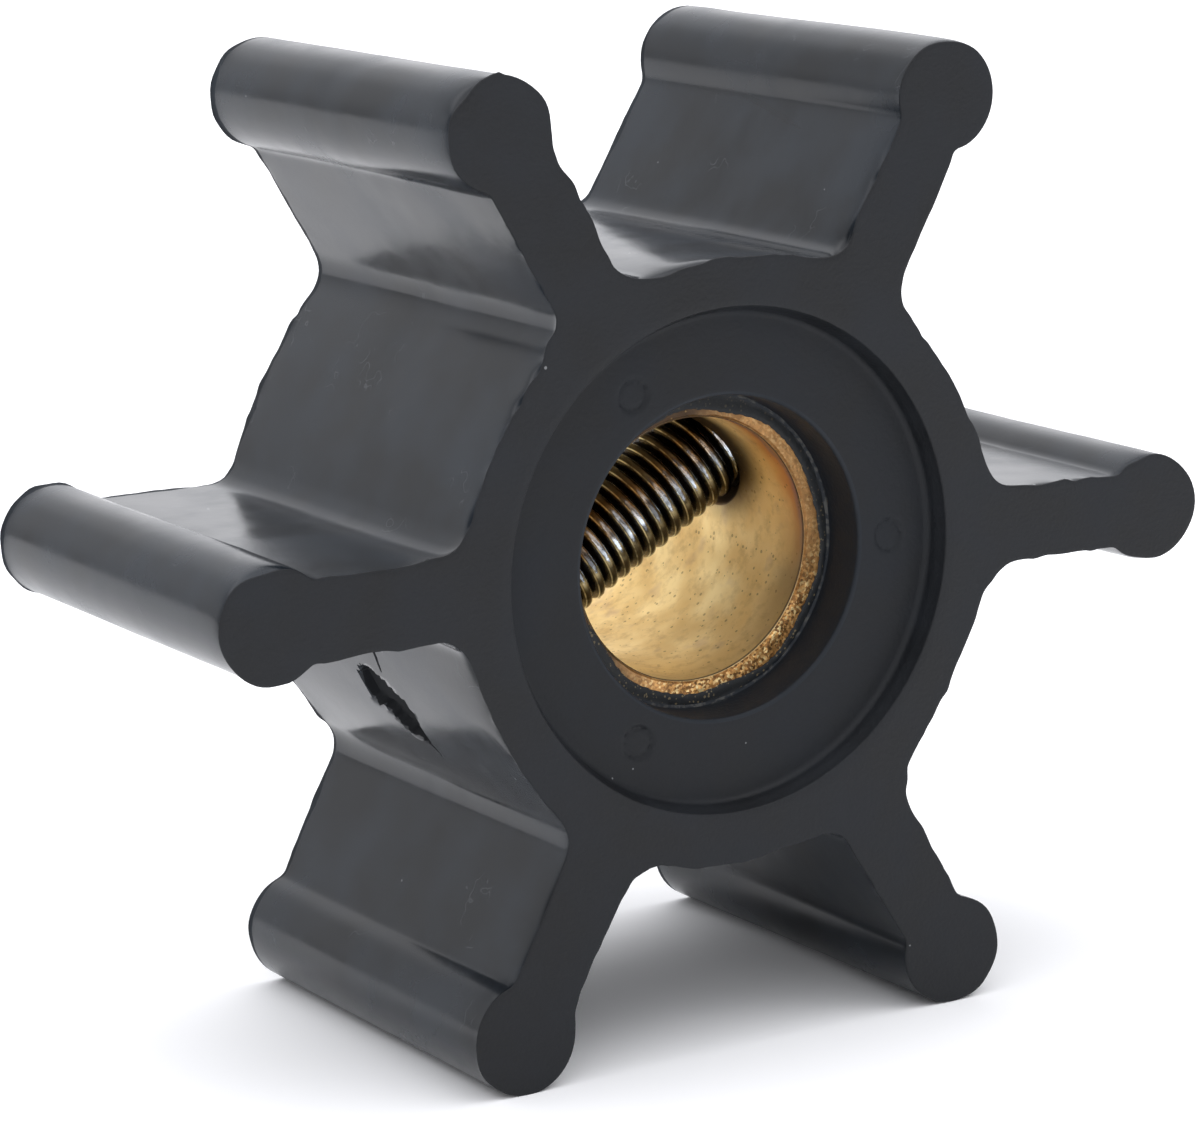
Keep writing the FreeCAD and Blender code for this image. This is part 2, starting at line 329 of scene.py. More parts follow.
@dataclass(frozen=True)
class Rip:
    """Gap torn or cut in a moulded wall, between two lines that run along it.

    Attributes:
        wall: Direction of the wall's normal, in degrees.
        near: Least distance of the wall from the axis, in millimetres.
        start: Where the gap begins: place along the wall and along Y.
        heading: Its direction on the wall, in degrees.
        places: Places along the gap.
        low: Its lower line at each place.
        high: Its upper line at each place.
        depth: How far the skin sinks in it.
        shade: How much painted shade darkens the rubber in it.
        slope: Width of its sloping side.
    """

    wall: float
    near: float
    start: tuple
    heading: float
    places: tuple
    low: tuple
    high: tuple
    depth: float
    shade: float
    slope: float = 0.25

    def axes(self) -> tuple:
        """Unit vectors of the gap on its wall.

        Returns:
            The vectors along the gap, across it and out of the wall.
        """
        out, turn = math.radians(self.wall), math.radians(self.heading)
        run, deep = np.array([-math.sin(out), 0.0, math.cos(out)]), np.array([0.0, 1.0, 0.0])
        return (run * math.cos(turn) + deep * math.sin(turn),
                deep * math.cos(turn) - run * math.sin(turn),
                np.array([math.cos(out), 0.0, math.sin(out)]))

    def origin(self) -> np.ndarray:
        """The point at which the gap begins, less its distance from the axis.

        Returns:
            The point, in millimetres.
        """
        out = math.radians(self.wall)
        return np.array([-math.sin(out) * self.start[0], self.start[1],
                         math.cos(out) * self.start[0]])

    def sunk(self, points: np.ndarray) -> np.ndarray:
        """How far the skin moves: depth * smooth step of the way in from the nearer line.

        Args:
            points: Points, three values each in the last axis.

        Returns:
            Offset along the wall's normal: negative in the gap, nothing elsewhere.
        """
        along, across, out = self.axes()
        place = (points - self.origin()) @ along
        level = (points - self.origin()) @ across
        low = np.interp(place, self.places, self.low)
        high = np.interp(place, self.places, self.high)
        inside = np.minimum(level - low, high - level)
        near = (place > 0.0) & (place < self.places[-1]) & (points @ out > self.near)
        return np.where(near, -self.depth * smooth_step(inside, 0.0, self.slope), 0.0)


TEAR = Rip(wall=210.0, near=12.4, start=(-1.78, 0.75), heading=-32.2,
           places=(0.0, 0.15, 0.5, 0.7, 1.2, 1.8, 1.96, 2.55, 3.28, 3.8, 4.35, 5.0, 5.55),
           low=(0.0, -0.3, -0.7, -0.83, -1.06, -1.2, -1.25, -1.57, -1.46, -1.1, -0.48, -0.33,
                -0.02),
           high=(0.0, 0.85, 1.18, 1.35, 1.62, 1.7, 1.0, 0.99, 0.96, 0.82, 0.18, -0.15, 0.02),
           depth=0.4, shade=0.93)
CRACK = Rip(wall=210.0, near=12.4, start=(-3.05, -1.43), heading=10.4,
            places=(0.0, 0.4, 0.8, 1.25), low=(-0.07, -0.09, -0.05, 0.0),
            high=(0.07, 0.05, 0.06, 0.02), depth=0.1, shade=0.97)
CREASE = Rip(wall=150.0, near=1.0, start=(-21.0, 5.9), heading=-82.8,
             places=(0.0, 1.7, 3.9, 6.4, 8.5, 9.6), low=(-0.02, -0.3, -0.58, -0.4, -0.16, -0.03),
             high=(0.02, -0.1, -0.4, -0.24, -0.04, 0.0), depth=0.03, shade=0.3)
RIPS = (TEAR, CRACK, CREASE)

FRONT_BLEMISHES = tuple(Blemish(*row) for row in (
    (-13.3, 21.6, -0.28, 0.9), (-14.1, 19.8, -0.16, 1.0), (-11.6, 22.5, 0.22, 0.22),
    (-9.4, 21.0, 0.12, 0.8), (-9.0, 19.0, 0.17, 0.6), (-8.0, 17.4, 0.24, 0.7),
    (-7.2, 16.1, 0.12, 0.8), (-9.3, 10.6, 0.3, 0.7), (-9.9, 9.5, -0.12, 0.5),
    (-10.9, 8.2, -0.14, 0.45), (-11.6, 7.4, 0.05, 0.4), (-12.6, 5.3, -0.08, 0.8),
    (-13.4, 3.5, -0.08, 0.6), (-14.9, 1.9, 0.2, 1.2), (-6.4, 14.6, -0.08, 0.6),
    (-3.6, 13.4, -0.26, 1.1), (-1.7, 13.5, -0.1, 0.7), (-0.3, 13.7, 0.07, 0.4),
    (2.2, 13.5, 0.05, 1.0), (4.1, 13.3, -0.06, 0.6), (6.0, 13.7, -0.22, 0.8),
    (7.2, 16.0, -0.12, 1.6), (8.3, 17.9, -0.1, 1.2), (11.6, 22.4, -0.13, 1.2),
    (12.0, 17.3, -0.06, 0.3), (10.5, 15.1, 0.08, 1.2), (9.6, 13.3, 0.12, 1.0),
    (8.8, 11.6, 0.16, 0.9), (11.9, 7.2, 0.08, 1.5), (13.4, 4.1, 0.1, 0.8), (14.0, 2.6, 0.18, 0.8),
    (16.7, 1.7, -0.08, 0.8), (18.2, 1.8, 0.12, 0.15), (18.7, 1.7, -0.08, 0.3),
    (21.3, 1.7, -0.12, 0.4), (22.3, 2.2, -0.2, 0.8), (25.4, -0.1, 0.25, 1.8),
    (22.5, -2.6, -0.15, 0.9), (16.4, -1.6, 0.08, 0.25), (19.7, -1.8, 0.07, 0.25),
    (14.1, -1.6, 0.28, 0.9), (13.9, -2.5, 0.18, 0.5), (10.5, -8.9, 0.08, 1.0),
    (8.8, -11.2, 0.4, 1.0), (10.2, -13.8, 0.1, 1.2), (11.3, -15.9, 0.06, 1.0),
    (13.6, -18.2, 0.08, 0.8), (14.2, -20.2, 0.12, 1.2), (13.3, -22.0, 0.12, 0.8),
    (-2.0, -13.5, 0.22, 1.5), (0.4, -13.6, 0.2, 1.2), (-5.2, -13.2, 0.16, 0.8),
    (-5.9, -13.9, 0.16, 0.7), (-6.7, -15.1, 0.1, 1.2), (-7.4, -16.4, 0.05, 1.0),
    (-8.1, -17.9, 0.05, 1.0), (-8.7, -19.1, 0.14, 0.8), (-9.5, -13.1, -0.08, 1.2),
    (-10.3, -15.0, -0.16, 1.2), (-11.1, -16.4, -0.1, 1.0), (-13.3, -21.3, 0.08, 0.8),
    (-23.4, 2.8, -0.35, 1.3), (-25.4, 1.1, -0.1, 1.0), (-23.4, -2.4, 0.15, 1.2),
    (-22.0, -2.3, 0.1, 0.6), (-20.7, -1.6, 0.22, 0.8), (-19.6, -1.7, 0.12, 0.8),
    (-16.9, -1.7, 0.1, 0.8), (-13.1, -3.9, -0.15, 1.0), (-12.5, -5.2, -0.1, 0.8),
))
REAR_BLEMISHES = tuple(Blemish(*row) for row in (
    (-25.4, 0.8, 0.12, 0.7), (-24.9, 1.9, 0.10, 0.7), (-23.9, 2.5, 0.13, 0.6),
    (-22.4, 2.6, 0.10, 0.6), (-25.3, -0.8, 0.10, 0.7), (-24.5, -2.1, 0.08, 0.6),
    (-23.2, -2.6, 0.16, 0.3), (-13.4, 21.6, 0.10, 0.7), (-14.0, 20.3, 0.10, 0.7),
    (-13.9, 18.9, 0.12, 0.7), (-13.2, 17.9, 0.10, 0.6), (-12.4, 6.4, 0.14, 0.5),
    (-10.6, 9.4, 0.12, 0.6), (8.4, 20.9, 0.08, 0.7), (-14.0, -19.6, 0.10, 0.7),
))


@dataclass
class RubberStar:
    """Moulded hub and six vanes: one closed skin with ground faces, recesses and flash.

    Lengths are in millimetres.

    Attributes:
        width: Width along the axis.
        tip_circle: Radius of the circle of the bulbs' middles.
        bulb: Radius of the round tips.
        root: Half a vane's thickness at the recess rim's radius.
        neck: Half its thickness at the bulb.
        root_fillet: Radius of the fillet at the hub.
        neck_fillet: Radius of the fillet at the bulb.
        web: Distance of a hub wall's middle from the axis.
        crown: Radius of the crowned hub wall.
        rim: Radius of the recess at the face.
        foot: Radius of the recess at its floor.
        floor_depth: Depth of the recess.
        foot_fillet: Radius of the fillet at its floor.
        mouth: Radius of the hole in front of the bush.
        mouth_round: Radius of the hole's rounded edge.
        seat: Radius of the bush's seat.
        seat_half: Half its length.
        mark_circle: Radius of the circle of the locating marks.
        mark: Radius of a mark.
        edge_round: Radius of the faces' edges.
        steps: Points in each zone of half a vane's outline.
        lean: Turn of each vane's tip in degrees, because soft vanes never stand quite straight.
        bare_ring: Mean radius inside which the brass end is bare of flash.
        bare_shift: How far this bare circle is off to one side.
        nicks: Number of small random nicks along an edge.
        fin_depth: Depth over which the thin flash fades.
        swell_depth: Depth over which the broad unevenness fades.
        broad_reach: Reach over which a blemish is broad.
        rips: Gaps in the moulded walls.
        blemishes: Blemishes of the front edge.
        rear_blemishes: Blemishes of the rear edge.
    """

    width: float = 22.0
    tip_circle: float = 22.95
    bulb: float = 2.55
    root: float = 1.8
    neck: float = 1.7
    root_fillet: float = 1.5
    neck_fillet: float = 0.8
    web: float = 13.6
    crown: float = 24.0
    rim: float = 11.5
    foot: float = 11.2
    floor_depth: float = 1.05
    foot_fillet: float = 0.35
    mouth: float = 7.3
    mouth_round: float = 0.16
    seat: float = 8.505
    seat_half: float = 7.555
    mark_circle: float = 9.0
    mark: float = 0.8
    edge_round: float = 0.07
    steps: tuple = (20, 6, 26, 8, 26)
    lean: tuple = (-0.38, 0.02, 0.34, -0.30, 1.03, 0.61)
    bare_ring: float = 6.45
    bare_shift: float = 0.33
    nicks: int = 190
    fin_depth: float = 0.13
    swell_depth: float = 0.8
    broad_reach: float = 0.7
    rips: tuple = RIPS
    blemishes: tuple = FRONT_BLEMISHES
    rear_blemishes: tuple = REAR_BLEMISHES

    def half_outline(self) -> dict:
        """Half a vane's outline in the vane's own axes, from its tip to the next hub wall's middle.

        It runs round the bulb, through the concave neck fillet, down the tapered flank,
        through the concave root fillet and along the crowned wall. Each fillet's centre
        lies a fillet radius off both of its neighbours, found where a line and a circle meet.
        Each point also gets its partner on the vane's middle line or on the recess rim.

        Returns:
            Arrays `edge`, `spine`, `zone` and `hub`, one entry for each point.
        """
        middle = np.array([self.tip_circle, 0.0])
        lean_in = math.asin(self.neck / self.bulb)
        neck_at = np.array([self.tip_circle - self.bulb * math.cos(lean_in), self.neck])
        root_at = np.array([self.rim, self.root])
        along = (root_at - neck_at) / np.linalg.norm(root_at - neck_at)
        normal = np.array([along[1], -along[0]])
        normal = normal if normal[1] > 0 else -normal
        half_pitch = math.pi / VANES
        crown_at = (self.web - self.crown) * np.array([math.cos(half_pitch), math.sin(half_pitch)])

        def tangent_centre(target: np.ndarray, reach: float, gap: float, far: bool) -> np.ndarray:
            """Middle of a fillet between the flank and a second circle.

            Args:
                target: Middle of the second circle.
                reach: Distance from it.
                gap: Distance off the flank.
                far: Whether it is the farther one of two such points along the flank.

            Returns:
                The point.
            """
            start = neck_at + normal * gap
            offset = start - target
            drop = float(offset @ along)
            root = math.sqrt(drop * drop - float(offset @ offset) + reach * reach)
            return start + along * (-drop + (root if far else -root))

        neck_c = tangent_centre(middle, self.bulb + self.neck_fillet, self.neck_fillet, True)
        root_c = tangent_centre(crown_at, self.crown + self.root_fillet, self.root_fillet, False)
        to_neck = math.atan2(*(neck_c - middle)[::-1])
        to_root = math.atan2(*(root_c - crown_at)[::-1])
        neck_from = to_neck + math.pi
        flank_angle = math.atan2(-normal[1], -normal[0])
        n_bulb, n_neck, n_flank, n_root, n_web = self.steps
        neck_end = neck_c - normal * self.neck_fillet
        root_start = root_c - normal * self.root_fillet
        share = np.linspace(0.0, 1.0, n_flank + 1)[:, None]
        parts = [
            arc(middle, self.bulb, 0.0, to_neck, n_bulb),
            arc(neck_c, self.neck_fillet, neck_from, flank_angle + math.tau, n_neck),
            neck_end + (root_start - neck_end) * share,
            arc(root_c, self.root_fillet, flank_angle, to_root - math.pi, n_root),
            arc(crown_at, self.crown, to_root, half_pitch, n_web),
        ]
        edge = np.concatenate([parts[0]] + [part[1:] for part in parts[1:]])
        zone = np.repeat([int(zone) for zone in Zone], [n_bulb + 1, n_neck, n_flank, n_root, n_web])
        shank = n_bulb + n_neck + n_flank
        place = np.arange(len(edge))
        inwards = np.interp(
            place, [0, 0.45 * n_bulb, n_bulb, n_bulb + n_neck, shank],
            [self.tip_circle, self.tip_circle, self.tip_circle - 1.3, self.tip_circle - 2.2,
             self.rim])
        angle = np.interp(place, [shank, len(edge) - 1], [0.0, half_pitch])
        radius = np.where(place <= shank, inwards, self.rim)
        spine = radius[:, None] * np.stack([np.cos(angle), np.sin(angle)], axis=1)
        return {"edge": edge, "spine": spine, "zone": zone, "hub": angle[shank:]}

    def outline(self) -> dict:
        """The whole outline: the half mirrored for each vane, and turned to each vane's angle.

        Returns:
            Arrays `edge`, `spine`, `zone`, `normal` and `arc` (place along the outline),
            `length`, the whole outline's, and `hub`, the angles of the recess rim's points.
        """
        half = self.half_outline()
        flip = np.array([1.0, -1.0])
        turns = [VANE_ANGLE * k for k in range(VANES)]
        edge, spine = (
            np.concatenate([turned(np.concatenate([half[key][:0:-1] * flip, half[key][:-1]]), turn)
                            for turn in turns]) for key in ("edge", "spine"))
        zone = np.concatenate([half["zone"][:0:-1], half["zone"][:-1]])
        rays = np.concatenate([-half["hub"][:0:-1], half["hub"][:-1]])
        chord = np.roll(edge, -1, axis=0) - np.roll(edge, 1, axis=0)
        chord /= np.linalg.norm(chord, axis=1, keepdims=True)
        step = np.linalg.norm(np.roll(edge, -1, axis=0) - edge, axis=1)
        return {
            "edge": edge,
            "spine": spine,
            "zone": np.tile(zone, VANES),
            "normal": np.stack([chord[:, 1], -chord[:, 0]], axis=1),
            "arc": np.concatenate([[0.0], np.cumsum(step)[:-1]]),
            "length": float(step.sum()),
            "hub": np.concatenate([rays + math.radians(turn) for turn in turns]),
        }

    def flash(self, shape: dict, seed: int, blemishes: tuple) -> tuple:
        """How far the trimmed edge of a face stands out from the moulded outline.

        A closed random wave plus bell-shaped nicks at random places, both strong along the
        hub walls, weaker along the flanks and faint round the bulbs, and the blemishes, each
        a bell curve of the distance to its place.

        Args:
            shape: The outline.
            seed: Seed of the wave and the nicks.
            blemishes: Blemishes of this edge.

        Returns:
            Two offsets along the outline's normal, in millimetres: the thin fin that ends
            just behind the edge, and the broad unevenness that fades slowly.
        """
        strength = np.array([FLASH_STRENGTH[zone] for zone in Zone])[shape["zone"]]
        count, length = len(strength), shape["length"]
        strength = np.convolve(np.tile(strength, 3), np.ones(9) / 9, "same")[count:-count]
        wave = (wander(shape["arc"], length, 80, seed)
                + 0.5 * wander(shape["arc"], length, 300, seed + 1))
        chance = np.random.default_rng(seed + 2)
        place = chance.uniform(0.0, length, self.nicks)
        size = np.clip(chance.normal(0.0, 0.045, self.nicks), -0.09, 0.09)
        reach = chance.uniform(0.2, 0.7, self.nicks)
        gap = np.abs(shape["arc"][:, None] - place[None, :])
        bells = size * np.exp(-((np.minimum(gap, length - gap) / reach) ** 2))
        thin = strength * (0.018 * np.clip(wave, -1.8, 1.8) + bells.sum(axis=1))
        broad = np.zeros(len(thin))
        edge = self.leaned(np.insert(shape["edge"], 1, 0.0, axis=1))
        for spot in blemishes:
            away = np.hypot(edge[:, 0] - spot.x, edge[:, 2] - spot.z)
            bell = spot.height * np.exp(-((away / spot.reach) ** 2))
            share = 0.6 if spot.reach > self.broad_reach else 0.0
            thin += bell * (1.0 - share)
            broad += bell * share
        return thin, broad

    def star_grid(self, shape: dict) -> tuple:
        """Faces and flanks as one grid: columns follow the outline, rows go from front to rear.

        Front rows run straight from the middle line to the edge; a quarter round turns the
        edge; flank rows carry the outline along Y. The flash fades behind each edge as
        exp(-depth / fin_depth), and exp(-depth / swell_depth) where it is broad, and rips
        sink into the walls.

        Args:
            shape: The outline.

        Returns:
            The grid and the finish number of each strip.
        """
        half = self.width / 2
        edge, spine, normal = shape["edge"], shape["spine"], shape["normal"]
        turn = QUARTER[1:, None]
        plans = (
            (-1.0, self.flash(shape, Seed.FRONT_FLASH, self.blemishes),
             [0.0, 0.2, 0.4, 0.6, 0.78, 0.91, 1.0],
             [0.04, 0.1, 0.18, 0.3, 0.5, 0.8, 1.3, 2.1, 3.2, 4.5, 5.9, 7.2, 8.0,
              8.4, 8.75, 9.1, 9.45, 9.8, 10.15, 10.5, 10.85]),
            (1.0, self.flash(shape, Seed.REAR_FLASH, self.rear_blemishes),
             [0.0, 0.35, 0.7, 0.9, 1.0],
             [0.08, 0.2, 0.45, 0.9, 1.8, 3.2, 5.0, 7.0, 8.5, 9.0, 9.35, 9.7, 10.05, 10.4, 10.75]),
        )
        rows, finish = [], []
        for side, (thin, broad), across, depth in plans:
            across, depth = np.array(across), np.array(depth)
            flash = thin + broad
            rim = edge + normal * (flash - self.edge_round)[:, None]
            face = spine[None] + (rim - spine)[None] * across[:, None, None]
            face_rows = np.insert(face, 1, side * half, axis=2)
            pulled = flash - self.edge_round * (1.0 - np.sin(turn))
            bend = edge[None] + normal[None] * pulled[..., None]
            height = np.full(bend.shape[:2], half) - self.edge_round * (1.0 - np.cos(turn))
            bend_rows = np.insert(bend, 1, side * height, axis=2)
            offset = (thin * np.exp(-(depth / self.fin_depth))[:, None]
                      + broad * np.exp(-(depth / self.swell_depth))[:, None]
                      + self.sway(shape, side * (half - depth)))
            wall = edge[None] + normal[None] * offset[..., None]
            wall_rows = np.insert(wall, 1, side * (half - self.edge_round - depth)[:, None], axis=2)
            sunk = sum(rip.sunk(wall_rows) for rip in self.rips)
            wall_rows[..., 0] += sunk * normal[:, 0]
            wall_rows[..., 2] += sunk * normal[:, 1]
            part = np.concatenate([face_rows, bend_rows, wall_rows])
            marks = ([RubberSurface.GROUND] * (len(face_rows) - 1 + len(bend_rows))
                     + [RubberSurface.MOULDED] * len(depth))
            rows.append(part if side < 0 else part[::-1])
            finish += marks if side < 0 else marks[::-1]
        finish.insert(len(rows[0]) - 1, RubberSurface.MOULDED)
        return np.concatenate(rows), finish

    def sway(self, shape: dict, heights: np.ndarray) -> np.ndarray:
        """Slight waviness of the moulded walls: value noise of the place, 0.02 mm high.

        Args:
            shape: The outline.
            heights: Places along Y, one for each row.

        Returns:
            Offset for each row and column.
        """
        edge = shape["edge"]
        points = np.empty((len(heights), len(edge), 3))
        points[..., 0], points[..., 2] = edge[:, 0], edge[:, 1]
        points[..., 1] = np.asarray(heights)[:, None]
        flat = points.reshape(-1, 3)
        noise = layered(flat, (0.022, 3.1, Seed.SWAY_WIDE), (0.008, 1.1, Seed.SWAY_CLOSE))
        quiet = smooth_step(self.width / 2 - np.abs(points[..., 1]), 0.0, 0.8)
        return noise.reshape(len(heights), -1) * quiet

    def recess_profile(self, fine: bool) -> tuple:
        """Half section of one recess, mouth and seat, as radius and distance from the middle.

        From the rim over a small round, down the drafted wall, through the foot fillet, in over
        the floor, round the mouth, down its wall to the bush, in over the bush's end as thin
        flash, back out under it and along the seat to the middle.

        Args:
            fine: Whether the floor gets the close rows that the locating marks need.

        Returns:
            Radii, distances, the share of rough flash and the finish number of each strip.
        """
        half = self.width / 2
        floor = half - self.floor_depth
        lip, fillet = 0.09, self.foot_fillet
        foot = self.foot - 0.03
        rim_r = self.rim - lip * np.sin(QUARTER)
        rim_y = half - lip * (1.0 - np.cos(QUARTER))
        wall_r = np.linspace(self.rim - lip, foot, 4)[1:]
        wall_y = np.linspace(half - lip, floor + fillet, 4)[1:]
        bend = np.radians([15.0, 35.0, 55.0, 75.0, 90.0])
        foot_r = foot - fillet * (1.0 - np.cos(bend))
        foot_y = floor + fillet * (1.0 - np.sin(bend))
        inner = self.mouth + self.mouth_round
        floor_r = np.linspace(10.6, inner, 4)
        if fine:
            floor_r = np.concatenate([np.linspace(10.6, 9.95, 3), np.linspace(9.86, 8.14, 20),
                                      np.linspace(8.0, inner, 3)])
        lip_turn = np.radians([22.5, 45.0, 67.5, 90.0])
        lip_r = self.mouth + self.mouth_round * (1.0 - np.sin(lip_turn))
        lip_y = floor - self.mouth_round * (1.0 - np.cos(lip_turn))
        deep = self.seat_half
        tube_r = np.array([7.29, 7.28, 7.27, 7.26, 7.25, 7.20])
        tube_y = np.linspace(lip_y[-1], deep + 0.14, 7)[1:]
        bare = self.bare_ring
        ledge_r = np.array([7.12, 7.04, 6.9, bare + 0.2, bare + 0.06, bare, bare,
                            self.seat, self.seat])
        ledge_y = np.array([deep + 0.10, deep + 0.06, deep + 0.075, deep + 0.09, deep + 0.07,
                            deep + 0.03, deep, deep, 0.0])
        floor_y = np.full(len(floor_r), floor)
        radius = np.concatenate([rim_r, wall_r, foot_r, floor_r, lip_r, tube_r, ledge_r])
        height = np.concatenate([rim_y, wall_y, foot_y, floor_y, lip_y, tube_y, ledge_y])
        rough = np.zeros(len(radius))
        rough[-(len(ledge_r) + 1):-2] = [0.15, 0.25, 0.35, 0.6, 1.0, 1.0, 1.0, 1.0]
        finish = [RubberSurface.RECESS] * (len(radius) - 1)
        finish[:3] = [RubberSurface.GROUND] * 3
        return radius, height, rough, finish

    def recess_grid(self, shape: dict, side: float) -> tuple:
        """Recess, mouth and seat of one side, its section turned about the axis.

        The floor sinks inside each locating mark, deepest along its rim. The flash on the
        bush's end reaches further in above and on the left, as bare_shift * cos(angle + 20),
        and a little less around 60 degrees below +X, where a bell curve is added. Random waves
        make its inner edge ragged and its top gritty.

        Args:
            shape: The outline, for the rim's angles.
            side: -1 for the front, 1 for the rear.

        Returns:
            The grid and the finish number of each strip.
        """
        radius, height, rough, finish = self.recess_profile(side < 0)
        angle = shape["hub"]
        ragged = (0.07 * wander(angle, math.tau, 10, Seed.RAGGED_WIDE)
                  + 0.022 * wander(angle, math.tau, 120, Seed.RAGGED_CLOSE))
        lopsided = self.bare_shift * np.cos(angle + math.radians(20.0))
        lopsided += 0.2 * np.exp(
            -((np.cos(angle) - 0.5) ** 2 + (np.sin(angle) + 0.866) ** 2) / 0.045)
        r = radius[:, None] + rough[:, None] * (np.clip(ragged, -0.14, 0.14) + lopsided)[None, :]
        y = np.repeat(height[:, None], len(angle), axis=1)
        x, z = r * np.cos(angle), r * np.sin(angle)
        floor = self.width / 2 - self.floor_depth
        on_floor = np.abs(height - floor) < SMALL
        if side < 0:
            for k in range(3):
                turn = math.radians(120.0 * k)
                away = np.hypot(x - self.mark_circle * math.cos(turn),
                                z - self.mark_circle * math.sin(turn))
                sink = 0.07 * (1.0 - smooth_step(away, self.mark - 0.12, self.mark))
                ring = 0.06 * np.exp(-(((away - self.mark + 0.12) / 0.09) ** 2))
                y -= on_floor[:, None] * (sink + ring)
        gritty = (rough > 0)[:, None] & (y > self.seat_half + 0.02)
        flat = np.stack([x, y, z], axis=-1).reshape(-1, 3)
        grain = layered(flat, (0.02, 0.2, Seed.GRIT)).reshape(x.shape)
        y = y + np.where(gritty, grain, 0.0)
        return np.stack([x, side * y, z], axis=-1), finish

    def leaned(self, points: np.ndarray) -> np.ndarray:
        """Turns each vane towards its lean: none at the recess rim, all of it at the tip.

        Args:
            points: Points, one row each.

        Returns:
            The points, turned about Y by lean * t, t running from rim to tip circle and
            fading out towards the middle of the hub walls.
        """
        radius = np.hypot(points[:, 0], points[:, 2])
        angle = np.degrees(np.arctan2(points[:, 2], points[:, 0]))
        vane = np.round(angle / VANE_ANGLE).astype(int)
        share = np.clip((radius - self.rim - 0.5) / (self.tip_circle - self.rim - 0.5), 0.0, 1.2)
        share *= 1.0 - smooth_step(np.abs(angle - VANE_ANGLE * vane), 14.0, 29.0)
        turn = np.radians(np.array(self.lean)[vane % VANES] * share)
        cosine, sine = np.cos(turn), np.sin(turn)
        moved = points.copy()
        moved[:, 0] = points[:, 0] * cosine - points[:, 2] * sine
        moved[:, 2] = points[:, 0] * sine + points[:, 2] * cosine
        return moved

    def tip(self, vane: int) -> np.ndarray:
        """Middle of a vane's bulb in X and Z, with its lean."""
        angle = math.radians(VANE_ANGLE * vane + self.lean[vane])
        return self.tip_circle * np.array([math.cos(angle), math.sin(angle)])

    def build(self, materials: Sequence[Material]) -> Piece:
        """Builds the rubber as one closed skin.

        Args:
            materials: Ground face, moulded wall and recess finishes.

        Returns:
            The piece.
        """
        shape = self.outline()
        skin = Skin()
        recesses = (self.recess_grid(shape, side) for side in (-1.0, 1.0))
        for grid, finish in (self.star_grid(shape), *recesses):
            skin.add_grid(grid, finish)
        skin.points = [self.leaned(block) for block in skin.points]
        return skin.write("rubber_star", materials)


class BrassSurface(enum.IntEnum):
    """Finish numbers of the bush."""

    BORE = 0
    END = 1
    HOLE = 2


